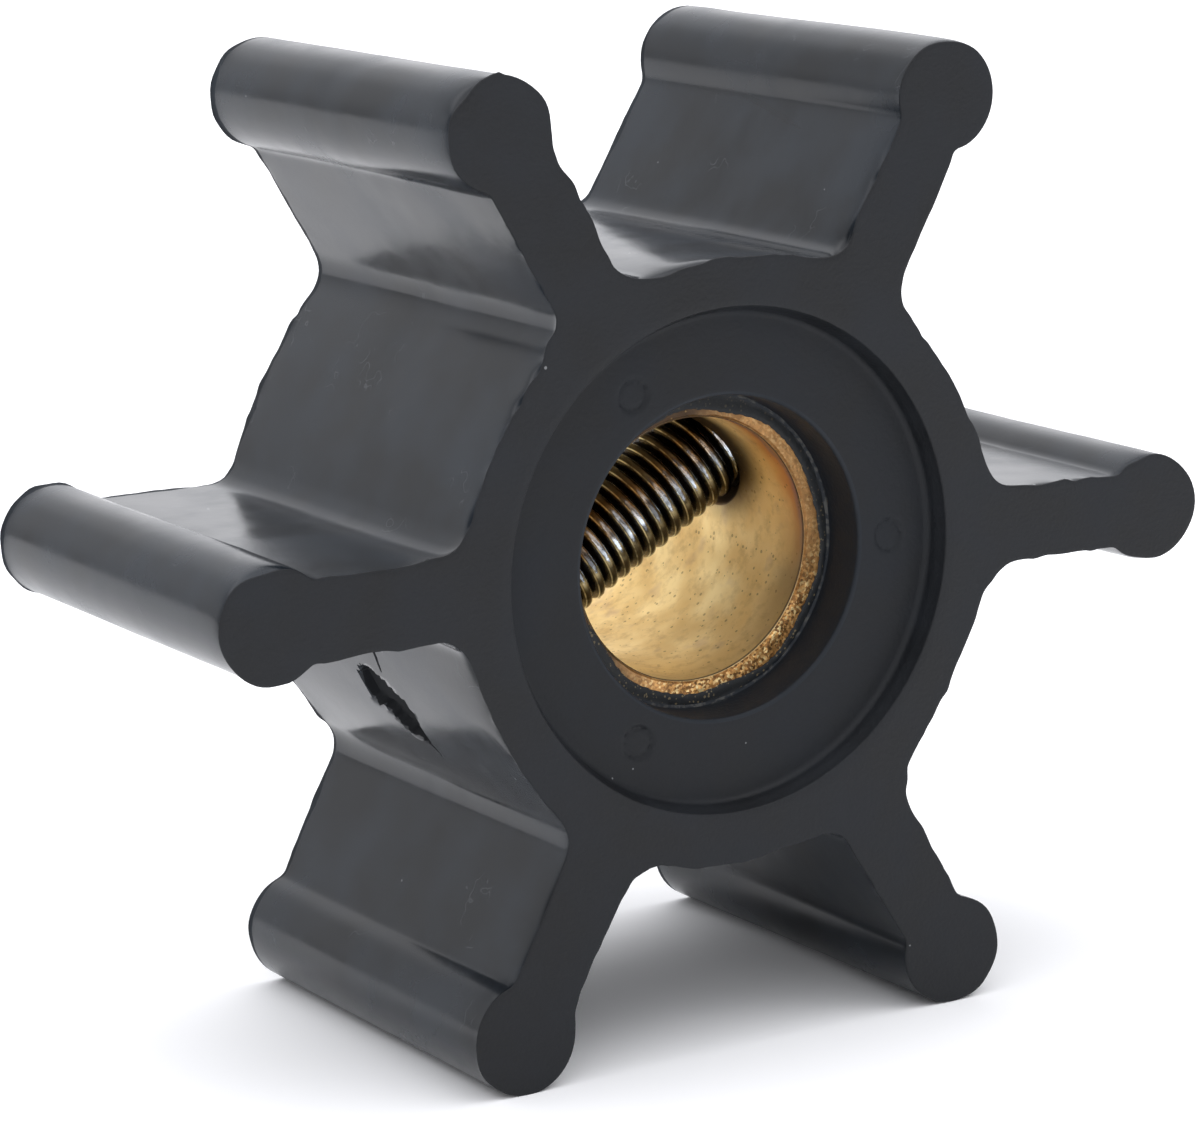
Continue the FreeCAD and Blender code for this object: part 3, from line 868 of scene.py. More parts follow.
@dataclass
class BrassBush:
    """Bored bush with a cross hole that is free above the axis and tapped below it.

    Attributes:
        bore: Radius of the bore, in millimetres like all lengths here.
        outside: Outer radius.
        half: Half the length.
        chamfer: Width of the chamfer at the bore's ends.
        chamfer_depth: Its depth.
        free_hole: Radius of the hole above.
        tapped_hole: Radius of the hole below.
        hole_end: Distance from the axis at which both holes end.
        hole_angle: Rise of the cross hole from +X, in degrees.
        patch: Half the side of the square patch of wall round a hole.
        patch_steps: Columns in a patch.
        patch_rows: Rows in a patch.
        between_steps: Columns between the patches.
        rings: Rings from a patch's rim to its hole.
    """

    bore: float = 6.0
    outside: float = 8.495
    half: float = 7.55
    chamfer: float = 0.13
    chamfer_depth: float = 0.16
    free_hole: float = 2.8
    tapped_hole: float = 2.52
    hole_end: float = 8.3
    hole_angle: float = 30.0
    patch: float = 3.6
    patch_steps: int = 96
    patch_rows: int = 24
    between_steps: int = 144
    rings: int = 12

    def columns(self) -> np.ndarray:
        """Angles round the bore from the cross hole's direction.

        Near each hole they keep bore * sin(angle) evenly spaced, so that a square patch of
        the wall has even sides; between the patches the angles are even.

        Returns:
            The angles in radians, rising round the bore.
        """
        corner = math.asin(self.patch / self.bore)
        near = np.arcsin(
            np.linspace(-self.patch, self.patch, self.patch_steps + 1) / self.bore)[:-1]
        far = np.linspace(corner, math.pi - corner, self.between_steps + 1)[:-1]
        return np.concatenate([near, far, near + math.pi, far + math.pi])

    def bore_rows(self) -> np.ndarray:
        """Heights of the bore wall's rows, even over the patches and even outside them.

        Returns:
            The heights, from front to rear.
        """
        inner = np.linspace(-self.patch, self.patch, self.patch_rows + 1)
        outer = np.linspace(self.patch, self.half - self.chamfer_depth, 12)[1:]
        return np.concatenate([-outer[::-1], inner, outer])

    def wall_quads(self, angle: np.ndarray, rows: np.ndarray) -> np.ndarray:
        """Quads of the bore wall without those inside the two patches.

        Args:
            angle: The columns.
            rows: The rows.

        Returns:
            The remaining quads.
        """
        quads = grid_quads(len(rows), len(angle))
        n = self.patch_steps
        in_patch = np.zeros(len(angle), bool)
        in_patch[:n] = True
        in_patch[n + self.between_steps:2 * n + self.between_steps] = True
        low = np.minimum(rows[:-1], rows[1:])
        middle = (low > -self.patch - SMALL) & (low < self.patch - SMALL)
        inside = in_patch[None, :] & middle[:, None]
        return quads[~inside.reshape(-1)]

    def hole_grid(self, side: float, radius: float) -> np.ndarray:
        """Wall round one hole and the hole itself, as rings from the square patch inwards.

        Rings blend from the square's rim to the circle on the bore, where the distance along
        the hole is sqrt(bore^2 - across^2); they then turn over a small round, run straight
        out and shrink to a point at the hole's end.

        Args:
            side: 1 at the free end, -1 at the tapped end.
            radius: Radius of the hole.

        Returns:
            The grid, one row for each ring.
        """
        n, m, p = self.patch_steps, self.patch_rows, self.patch
        run_w, run_y = np.linspace(-p, p, n + 1)[:-1], np.linspace(-p, p, m + 1)[:-1]
        rim_w = np.concatenate([run_w, np.full(m, p), -run_w, np.full(m, -p)])
        rim_y = np.concatenate([np.full(n, -p), run_y, np.full(n, p), -run_y])
        length = np.hypot(rim_w, rim_y)
        unit_w, unit_y = rim_w / length, rim_y / length
        blend = np.linspace(0.0, 1.0, self.rings)[:, None] ** 0.8
        w = rim_w + (unit_w * (radius + 0.06) - rim_w) * blend
        y = rim_y + (unit_y * (radius + 0.06) - rim_y) * blend
        along = np.sqrt(self.bore ** 2 - w ** 2)
        tube_out = np.array([0.03, 0.1, 0.4, 1.0])[:, None]
        tube_r = np.array([radius + 0.015, radius, radius, radius])[:, None]
        tube_w, tube_y = unit_w * tube_r, unit_y * tube_r
        tube_a = np.sqrt(self.bore ** 2 - tube_w ** 2) + tube_out
        end_r = np.array([radius, 0.5 * radius, 0.0])[:, None]
        end_w, end_y = unit_w * end_r, unit_y * end_r
        end_a = np.full(end_w.shape, self.hole_end)
        out, across, deep = (np.concatenate(rings) for rings in (
            [along, tube_a, end_a], [w, tube_w, end_w], [y, tube_y, end_y]))
        return tilted(side * out, side * across, deep, self.hole_angle)

    def end_grid(self, angle: np.ndarray, side: float) -> np.ndarray:
        """Turned line, chamfer, rough end face and outside of one half, turned about the axis.

        The end face is raised and pitted by value noise in two sizes, most of all below on
        the right, and the edge of the bore wanders a little in and out.

        Args:
            angle: The columns.
            side: -1 for the front, 1 for the rear.

        Returns:
            The grid.
        """
        edge = self.half - self.chamfer_depth
        face_r = np.linspace(self.bore + self.chamfer, 7.0, 14)
        line_r = self.bore + np.array([0.0, 0.04, 0.05, 0.09])
        line_y = edge + np.array([0.0, 0.01, 0.03, 0.1])
        radius = np.concatenate([line_r, face_r, [7.6, self.outside, self.outside]])
        height = np.concatenate([line_y, np.full(len(face_r), self.half),
                                 [self.half, self.half, 0.0]])
        free = smooth_step(radius, self.bore + 0.06, self.bore + self.chamfer) * (radius < 7.1)
        wave = 0.015 * wander(angle, math.tau, 40, Seed.BORE_EDGE)
        r = radius[:, None] + wave * (free * (radius < 6.4))[:, None]
        y = np.repeat(height[:, None], len(angle), axis=1)
        turn = angle + math.radians(self.hole_angle)
        x, z = r * np.cos(turn), r * np.sin(turn)
        points = np.stack([x, y, z], axis=-1).reshape(-1, 3)
        rough = layered(points, (0.03, 0.17, Seed.TORN_CLOSE), (0.016, 0.5, Seed.TORN_WIDE))
        torn = 0.25 + 0.75 * smooth_step(np.cos(turn + math.radians(62.0)), 0.3, 0.9)
        y = y + rough.reshape(y.shape) * free[:, None] * torn[None, :]
        return np.stack([x, side * y, z], axis=-1)

    def build(self, materials: Sequence[Material]) -> Piece:
        """Builds the bush as one closed skin.

        Args:
            materials: Bore, end face and hole finishes.

        Returns:
            The piece.
        """
        skin = Skin()
        angle, rows = self.columns(), self.bore_rows()
        wall = tilted(self.bore * np.cos(angle)[None, :], self.bore * np.sin(angle)[None, :],
                      rows[:, None], self.hole_angle)
        skin.add_grid(wall, [BrassSurface.BORE] * (len(rows) - 1))
        skin.quads[0] = self.wall_quads(angle, rows)
        skin.finishes[0] = np.full(len(skin.quads[0]), int(BrassSurface.BORE))
        for side, radius in ((1.0, self.free_hole), (-1.0, self.tapped_hole)):
            grid = self.hole_grid(side, radius)
            around = [BrassSurface.BORE] * (self.rings - 1)
            skin.add_grid(grid, around + [BrassSurface.HOLE] * (len(grid) - self.rings))
        for side in (-1.0, 1.0):
            grid = self.end_grid(angle, side)
            skin.add_grid(grid, [BrassSurface.BORE] + [BrassSurface.END] * (len(grid) - 2))
        return skin.write("bored_bush", materials)


@dataclass
class CrossScrew:
    """Threaded stud across the bush.

    Attributes:
        radius: Radius over the crests, in millimetres like all lengths here.
        depth: Depth of the thread.
        pitch: Its pitch.
        half: Half the length.
        chamfer: Chamfer at both ends.
        angle: Rise from +X, in degrees.
        around: Points in one turn.
        per_turn: Rows in one pitch.
    """

    radius: float = 2.5
    depth: float = 0.47
    pitch: float = 0.8
    half: float = 8.0
    chamfer: float = 0.6
    angle: float = 30.0
    around: int = 108
    per_turn: int = 22

    def build(self, materials: Sequence[Material]) -> Piece:
        """Builds the stud: radius = root + depth * (1 - |2p|^2.2)^0.8, p the distance to the crest.

        p is the place along the screw less the share of a turn, in pitches, so the crest
        climbs one pitch in a turn. The radius is capped by the end chamfers, and each end
        closes in a flat disc.

        Args:
            materials: The stud's finishes.

        Returns:
            The piece, with the height over the root as attribute `crest`.
        """
        steps = int(round(2 * self.half / self.pitch * self.per_turn))
        place = np.linspace(-self.half, self.half, steps + 1)[:, None]
        turn = np.linspace(0.0, math.tau, self.around, endpoint=False)[None, :]
        phase = place / self.pitch - turn / math.tau
        p = phase - np.round(phase)
        crest = np.clip(1.0 - np.abs(2 * p) ** 2.2, 0.0, 1.0) ** 0.8
        radius = self.radius - self.depth * (1.0 - crest)
        radius = np.minimum(radius, self.radius - self.chamfer + (self.half - np.abs(place)))
        shrink = np.array([0.0, 0.45, 0.85])[:, None]
        radius = np.concatenate([radius[:1] * shrink, radius, radius[-1:] * shrink[::-1]])
        place = np.concatenate([np.full((3, 1), -self.half), place, np.full((3, 1), self.half)])
        grid = tilted(place, -radius * np.cos(turn), radius * np.sin(turn), self.angle)
        skin = Skin()
        skin.add_grid(grid, [0] * (len(grid) - 1))
        piece = skin.write("cross_screw", materials, crease=60.0)
        self.mark_crests(piece)
        return piece

    def mark_crests(self, piece: Piece) -> None:
        """Stores each point's height over the thread's root, from 0 to 1, as `crest`.

        Args:
            piece: The stud.
        """
        mesh = piece.data
        points = np.empty(len(mesh.vertices) * 3, np.float32)
        mesh.vertices.foreach_get("co", points)
        points = points.reshape(-1, 3) / MM
        axis = tilted(1.0, 0.0, 0.0, self.angle)
        away = np.linalg.norm(points - np.outer(points @ axis, axis), axis=1)
        height = np.clip((away - self.radius + self.depth) / self.depth, 0.0, 1.0)
        layer = mesh.attributes.new("crest", "FLOAT", "POINT")
        layer.data.foreach_set("value", height.astype(np.float32))


# Linear colours of what lies on the pieces, and of the light and shade painted on them.
DUST = (0.17, 0.175, 0.18)
SCUFF = (0.055, 0.059, 0.065)
# Painted shade in the rips.
RIP_SHADE = (0.0035, 0.0042, 0.0055)
# Painted light on the mouth wall.
MOUTH_PAINTED_LIGHT = (0.0098, 0.0130, 0.0178)
FLASH_TOP = (0.03, 0.028, 0.022)
FOOT_LINE = (0.085, 0.083, 0.075)
CRUMB = (0.15, 0.12, 0.07)
BRASS_SPECK = (0.30, 0.19, 0.07)
# Painted highlight along the bore's edge on the end face.
BRASS_RIM_HIGHLIGHT = (1.0, 0.84, 0.47)
# Painted shade on the left of the end face.
LEFT_SHADE_BRASS = (0.034, 0.019, 0.010)
SMUDGE = (0.56, 0.37, 0.15)
COOL_SMUDGE = (0.52, 0.34, 0.25)
# Painted shade inside the bore's front edge, below the axis.
LOW_EDGE_SHADE = (0.40, 0.27, 0.12)
EDGE_LINE = (0.05, 0.03, 0.02)
# Stain and painted shadow round the screw.
STAIN_AND_SHADOW = (0.065, 0.040, 0.02)
# Painted reflection of the brass bore on the screw.
BRASS_REFLECTION_TINT = (0.62, 0.42, 0.27)
WHITE = (1.0, 1.0, 1.0)
# Chip tones from a dark pit to a painted glint.
CHIPS_AND_GLINTS = ((0.0, (0.06, 0.028, 0.009)), (0.32, (0.34, 0.155, 0.045)), (0.72, (0.80, 0.43, 0.135)),
         (0.93, (1.0, 0.78, 0.38)))
# Heat tint near the bore's front edge; its darkest tones are painted shade.
HEAT_TINT_AND_SHADE = ((0.0, (0.42, 0.24, 0.12)), (0.1, (0.36, 0.18, 0.17)), (0.24, (0.62, 0.26, 0.08)),
        (0.5, (0.78, 0.42, 0.14)), (1.0, (0.86, 0.62, 0.30)))
HEAT_TINT_AND_SHADE_STRENGTH = ((0.0, 0.95), (0.35, 0.8), (0.7, 0.3), (1.0, 0.0))

# Places on the pieces, in metres: radii, depths along Y and a point beside the screw.
TIPS_FROM, TIPS_FULL = 0.0195, 0.0208
REAR_FROM, REAR_FULL = 0.0106, 0.0107
BARE_EDGE, FOOT_LINE_AT, MOUTH_EDGE = 7.08 * MM, 7.17 * MM, 7.5 * MM
BORE_EDGE = 6.06 * MM
BORE_FRONT = 0.00739
HEAT_TINT_AND_SHADE_DEPTH = 0.0024
STAIN_AND_SHADOW_MIDDLE = (0.0046, -0.0007, 0.0038)

# Directions on the front face as they are seen, and across the screw.
LOW_RIGHT = (0.47, 0.0, -0.88)
LEFT = (-0.9, 0.0, 0.4)
ABOVE_SCREW = (-0.5, 0.0, 0.866)

# A colour ramp holds 0 to 1, so a rip's line is kept in it as (value + shift) / span.
LINE_SHIFT = 2.0
LINE_SPAN = 4.0


class Graph:
    """Short hand for building a node tree."""

    def __init__(self, tree: bpy.types.NodeTree) -> None:
        """Keeps the tree that the nodes go into."""
        self.tree = tree

    def feed(self, socket: Socket, value: object) -> None:
        """Links an output to an input socket, or sets the input to a plain value.

        Args:
            socket: The input.
            value: Output socket or plain value.
        """
        if isinstance(value, Socket):
            self.tree.links.new(value, socket)
        else:
            socket.default_value = value

    def node(self, kind: str, inputs: Optional[dict] = None, **settings: object) -> bpy.types.Node:
        """Adds a node.

        Args:
            kind: Its type, without the ShaderNode prefix.
            inputs: Values or output sockets for its inputs, by name or place.
            settings: Properties of the node.

        Returns:
            The node.
        """
        made = self.tree.nodes.new(kind if kind.startswith("Node") else "ShaderNode" + kind)
        for name, value in settings.items():
            setattr(made, name, value)
        for name, value in (inputs or {}).items():
            self.feed(made.inputs[name], value)
        return made

    def math(self, kind: str, *values: object) -> Socket:
        """Result of a Math node on the given values."""
        return self.node("Math", dict(enumerate(values)), operation=kind).outputs[0]

    def times(self, first: object, second: object) -> Socket:
        """Product of two values."""
        return self.math("MULTIPLY", first, second)

    def plus(self, first: object, second: object) -> Socket:
        """Sum of two values."""
        return self.math("ADD", first, second)

    def minus(self, first: object, second: object) -> Socket:
        """Difference of two values."""
        return self.math("SUBTRACT", first, second)

    def span(self, value: object, start: float, end: float, low: float = 0.0, high: float = 1.0,
             kind: str = "LINEAR") -> Socket:
        """Value carried over from one span to another and held at its ends.

        Args:
            value: What is read.
            start: Value that gives low.
            end: Value that gives high.
            low: Result at the start.
            high: Result at the end.
            kind: Way between the two.

        Returns:
            The result.
        """
        inputs = {"Value": value, "From Min": start, "From Max": end, "To Min": low, "To Max": high}
        return self.node("MapRange", inputs, interpolation_type=kind).outputs[0]

    def dot(self, place: object, axis: tuple) -> Socket:
        """Length of a place along an axis."""
        return self.node("VectorMath", {0: place, 1: axis},
                         operation="DOT_PRODUCT").outputs["Value"]

    def red(self, colour: object) -> Socket:
        """First channel of a colour."""
        return self.node("SeparateColor", {"Color": colour}).outputs[0]

    def ramp(self, value: object, *stops: tuple) -> Socket:
        """Colour or value along stops of (place, colour or grey).

        Args:
            value: Where the ramp is read, from 0 to 1.
            stops: The stops, in rising order of their places.

        Returns:
            The colour there.
        """
        made = self.node("ValToRGB", {"Fac": value})
        row = made.color_ramp.elements
        while len(row) < len(stops):
            row.new(0.5)
        for item, (place, colour) in zip(row, stops):
            item.position = place
            item.color = ((*colour, 1.0) if isinstance(colour, tuple)
                          else (colour, colour, colour, 1.0))
        return made.outputs["Color"]

    def blend(self, share: object, first: object, second: object, kind: str = "MIX") -> Socket:
        """Mix of two colours by a share.

        Args:
            share: 0 for the first colour, 1 for the second.
            first: Colour that lies below.
            second: Colour that is laid on it.
            kind: How it is laid on.

        Returns:
            The mixed colour.
        """
        made = self.node("Mix", data_type="RGBA", blend_type=kind)
        for index, value in ((0, share), (6, first), (7, second)):
            self.feed(made.inputs[index], (*value, 1.0) if isinstance(value, tuple) else value)
        return made.outputs[2]


class Surface(Graph):
    """A new material around one Principled shader, read at Object coordinates in metres."""

    def __init__(self, name: str) -> None:
        """Makes the material.

        Args:
            name: Its name.
        """
        self.material = bpy.data.materials.new(name)
        self.material.use_nodes = True
        super().__init__(self.material.node_tree)
        self.shader = self.tree.nodes["Principled BSDF"]

    @functools.cached_property
    def place(self) -> Socket:
        """Object coordinates."""
        return self.node("TexCoord").outputs["Object"]

    @functools.cached_property
    def axes(self) -> bpy.types.bpy_prop_collection:
        """The coordinates one by one: X, Y and Z."""
        return self.node("SeparateXYZ", {"Vector": self.place}).outputs

    @functools.cached_property
    def radius(self) -> Socket:
        """Distance from the axis of rotation."""
        across, up = (self.math("POWER", self.axes[name], 2.0) for name in ("X", "Z"))
        return self.math("SQRT", self.plus(across, up))

    def noise(self, scale: float, detail: float = 3.0, rough: float = 0.5) -> Socket:
        """Noise value, with its scale per metre."""
        inputs = {"Vector": self.place, "Scale": scale, "Detail": detail, "Roughness": rough}
        return self.node("TexNoise", inputs).outputs["Fac"]

    def sway(self, scale: float, size: float) -> Socket:
        """Noise to and fro about nothing, `size` from end to end."""
        return self.times(self.minus(self.noise(scale), 0.5), size)

    def close(self, body: object, gloss: object, height: object, relief: float) -> Material:
        """Joins everything to the shader.

        Args:
            body: Colour.
            gloss: Roughness.
            height: Height of the grain.
            relief: Length of one unit of it, in metres.

        Returns:
            The material.
        """
        bump = self.node("Bump", {"Height": height, "Strength": 1.0, "Distance": relief}).outputs[0]
        for name, value in (("Base Color", body), ("Roughness", gloss), ("Normal", bump)):
            self.feed(self.shader.inputs[name], value)
        return self.material


class Effects:
    """The node groups that several finishes share, each built once."""

    def __init__(self) -> None:
        """Builds the groups."""
        self.dust_tree = self.group("Dust", ("Scale", "Rareness", "Size"), ("Mask",),
                                    self.fill_dust)
        self.grain_tree = self.group("Grain", ("Fine", "Coarse", "Coarse Share"),
                                     ("Height", "Cloud"), self.fill_grain)

    @staticmethod
    def group(name: str, inputs: tuple, outputs: tuple, fill: Callable) -> bpy.types.ShaderNodeTree:
        """Builds a shader node group that is read at a Vector.

        Args:
            name: Name of the group.
            inputs: Names of its other inputs.
            outputs: Names of its outputs.
            fill: Function that adds the nodes and returns what the outputs get.

        Returns:
            The group.
        """
        tree = bpy.data.node_groups.new(name, "ShaderNodeTree")
        tree.interface.new_socket("Vector", in_out="INPUT", socket_type="NodeSocketVector")
        for way, labels in (("INPUT", inputs), ("OUTPUT", outputs)):
            for label in labels:
                tree.interface.new_socket(label, in_out=way, socket_type="NodeSocketFloat")
        graph = Graph(tree)
        results = fill(graph, graph.node("NodeGroupInput").outputs)
        graph.node("NodeGroupOutput", dict(zip(outputs, results)))
        return tree

    @staticmethod
    def fill_dust(graph: Graph, source: bpy.types.bpy_prop_collection) -> tuple:
        """Cells of a Voronoi pattern whose middle is nearer than a random small radius.

        Args:
            graph: The group's nodes.
            source: Its inputs.

        Returns:
            The mask.
        """
        cells = graph.node(
            "TexVoronoi", {"Vector": source["Vector"], "Scale": source["Scale"]}).outputs
        chance = graph.node("SeparateColor", {"Color": cells["Color"]}).outputs
        chosen = graph.math("GREATER_THAN", chance[0], source["Rareness"])
        near = graph.math("LESS_THAN", cells["Distance"], graph.times(chance[1], source["Size"]))
        return (graph.times(chosen, near),)

    @staticmethod
    def fill_grain(graph: Graph, source: bpy.types.bpy_prop_collection) -> tuple:
        """Fine noise plus a share of coarse noise, as a height and as a soft cloud mask.

        Args:
            graph: The group's nodes.
            source: Its inputs.

        Returns:
            The height and the mask.
        """
        fine, coarse = (
            graph.node("TexNoise", {"Vector": source["Vector"], "Scale": source[name],
                                    "Detail": detail}).outputs["Fac"]
            for name, detail in (("Fine", 3.0), ("Coarse", 4.0)))
        height = graph.plus(fine, graph.times(coarse, source["Coarse Share"]))
        return height, graph.span(coarse, 0.35, 0.65)

    def dust(self, graph: Surface, scale: float, rareness: float, size: float) -> Socket:
        """Mask of dust on a surface: cells per metre, the share left out and the largest grain."""
        inputs = {"Vector": graph.place, "Scale": scale, "Rareness": rareness, "Size": size}
        return graph.node("Group", inputs, node_tree=self.dust_tree).outputs["Mask"]

    def grain(self, graph: Surface, fine: float, coarse: float, share: float) -> tuple:
        """Grain of a surface.

        Args:
            graph: The surface.
            fine: Scale of the fine noise, per metre.
            coarse: Scale of the coarse noise, per metre.
            share: Share of the coarse noise in the height.

        Returns:
            The height and the mask.
        """
        inputs = {"Vector": graph.place, "Fine": fine, "Coarse": coarse, "Coarse Share": share}
        made = graph.node("Group", inputs, node_tree=self.grain_tree).outputs
        return made["Height"], made["Cloud"]


@dataclass(frozen=True)
class Finish:
    """Base of every finish.

    Attributes:
        name: Name of the material.
    """

    name: str

    def looks(self, graph: Surface, effects: Effects) -> tuple:
        """Adds the nodes of the finish.

        Args:
            graph: The material's surface.
            effects: The shared node groups.

        Returns:
            Colour, roughness, height of the grain and the relief in metres.
        """
        raise NotImplementedError

    def material(self, effects: Effects) -> Material:
        """Builds the material with the shared node groups."""
        graph = Surface(self.name)
        return graph.close(*self.looks(graph, effects))


@dataclass(frozen=True)
class RubberFinish(Finish):
    """Black rubber, matte where it is ground and satin where it comes from the mould.

    Attributes:
        colour: Body colour.
        gloss_low: Smallest roughness.
        gloss_high: Largest roughness.
        fine: Scale of the fine grain, per metre.
        relief: Height of the grain in metres.
        specks: Share of dust cells left out.
        sheen_level: Strength of the mirrored light, 0.5 for plain rubber.
        tip_gloss: Roughness that the round tips have over the flanks.
        mottle: How far the body colour goes up and down with the clouds.
        scuffed: Whether it has scuffs, and a dull rear rim.
        rips: Gaps whose torn rubber is dull and darkened by painted shade.
        mouth_flecks_and_light: Brass flecks in the gritty flash round the bush; painted light on
            the mouth wall.
    """

    colour: tuple = (0.0072, 0.0084, 0.0106)
    gloss_low: float = 0.52
    gloss_high: float = 0.66
    fine: float = 5200.0
    relief: float = 0.00003
    specks: float = 0.89
    sheen_level: float = 0.33
    tip_gloss: float = 0.0
    mottle: float = 0.2
    scuffed: bool = False
    rips: tuple = ()
    mouth_flecks_and_light: bool = False

    def looks(self, graph: Surface, effects: Effects) -> tuple:
        """Clouded black with dust; then scuffs, rips, flecks and painted mouth light where it has
        them.

        Args:
            graph: The material's surface.
            effects: The shared node groups.

        Returns:
            Colour, roughness, height of the grain and the relief in metres.
        """
        height, cloud = effects.grain(graph, self.fine, coarse=260.0, share=0.35)
        dust = effects.dust(graph, scale=850.0, rareness=self.specks, size=0.095)
        darker, lighter = (tuple(level * c for c in self.colour)
                           for level in (1.0 - self.mottle, 1.0 + self.mottle))
        body = graph.blend(dust, graph.blend(cloud, darker, lighter), DUST)
        gloss = graph.span(cloud, 0.0, 1.0, self.gloss_low, self.gloss_high)
        if self.scuffed:
            body = graph.blend(self.scuffs(graph), body, SCUFF)
            gloss = graph.math("MAXIMUM", gloss, self.dull_rim(graph))
        if self.tip_gloss:
            tips = graph.span(graph.radius, TIPS_FROM, TIPS_FULL, high=self.tip_gloss)
            gloss = graph.plus(gloss, tips)
        # Painted shade: the rubber in each rip is darkened as the shade in its gap would darken it,
        # and made rough.
        for rip in self.rips:
            torn = graph.times(self.torn(graph, rip), rip.shade)
            body = graph.blend(torn, body, RIP_SHADE)
            gloss = graph.math("MAXIMUM", gloss, torn)
        if self.mouth_flecks_and_light:
            body = self.mouth_crumbs_and_light(graph, effects, body)
        graph.shader.inputs["Specular IOR Level"].default_value = self.sheen_level
        return body, gloss, height, self.relief

    def scuffs(self, graph: Surface) -> Socket:
        """Mask of fine curved scuffs: where noise crosses its mean, inside a few patches.

        Args:
            graph: The surface.

        Returns:
            The mask.
        """
        gap = graph.math("ABSOLUTE", graph.minus(graph.noise(620.0, 2.0), 0.5))
        return graph.times(graph.span(gap, 0.0, 0.009, 1.0, 0.0),
                           graph.span(graph.noise(330.0, 1.0), 0.62, 0.68, high=0.85))

    def dull_rim(self, graph: Surface) -> Socket:
        """Roughness of the last 0.2 to 0.5 mm before the rear face, where the mould parts."""
        depth = graph.plus(graph.axes["Y"], graph.sway(500.0, 0.0007))
        return graph.span(depth, REAR_FROM, REAR_FULL, high=0.68)

    def torn(self, graph: Surface, rip: Rip) -> Socket:
        """Mask of a rip: 1 up to 0.02 mm outside its two lines, with a soft and ragged edge.

        Args:
            graph: The surface.
            rip: The rip.

        Returns:
            The mask.
        """
        shifted = graph.node("VectorMath", {0: graph.place, 1: tuple(rip.origin() * MM)},
                             operation="SUBTRACT").outputs[0]
        run, level, depth = (graph.dot(shifted, tuple(float(v) / MM for v in axis))
                             for axis in rip.axes())
        level = graph.plus(level, graph.sway(4500.0, 0.08))
        length = rip.places[-1]
        share = graph.math("DIVIDE", run, length)
        mask = graph.times(graph.math("GREATER_THAN", depth, rip.near),
                           graph.math("COMPARE", share, 0.5, 0.5))
        for line, sign in ((rip.low, 1.0), (rip.high, -1.0)):
            stops = [(place / length, (value + LINE_SHIFT) / LINE_SPAN)
                     for place, value in zip(rip.places, line)]
            shape = graph.red(graph.ramp(share, *stops))
            edge = graph.minus(graph.times(shape, LINE_SPAN), LINE_SHIFT)
            gap = graph.times(graph.minus(level, edge), sign)
            mask = graph.times(mask, graph.span(gap, -0.08, -0.02))
        return mask

    def mouth_crumbs_and_light(self, graph: Surface, effects: Effects, body: object) -> Socket:
        """Colour of the mouth: brass flecks in the flash, most below, and a pale foot line.

        Its wall is painted lighter and bluer than the rubber round it, as painted light.

        Args:
            graph: The surface.
            effects: The shared node groups.
            body: Colour of the rubber.

        Returns:
            The colour with the mouth laid on.
        """
        ring = graph.math("LESS_THAN", graph.radius, BARE_EDGE)
        mouth = graph.math("LESS_THAN", graph.radius, MOUTH_EDGE)
        foot = graph.math("COMPARE", graph.radius, FOOT_LINE_AT, 0.06 * MM)
        low = graph.span(graph.axes["Z"], 0.004, -0.004, 0.25, 1.0)
        dust = effects.dust(graph, scale=8500.0, rareness=0.6, size=0.6)
        pale = graph.times(ring, graph.times(graph.noise(5200.0, 5.0), 0.6))
        broken = graph.span(graph.noise(2600.0, 4.0), 0.48, 0.6, high=0.7)
        # Painted light: the mouth wall gets a lighter, bluer copy of the recess rubber.
        body = graph.blend(mouth, body, MOUTH_PAINTED_LIGHT)
        body = graph.blend(pale, body, FLASH_TOP)
        body = graph.blend(graph.times(foot, broken), body, FOOT_LINE)
        return graph.blend(graph.times(graph.times(dust, low), ring), body, CRUMB)


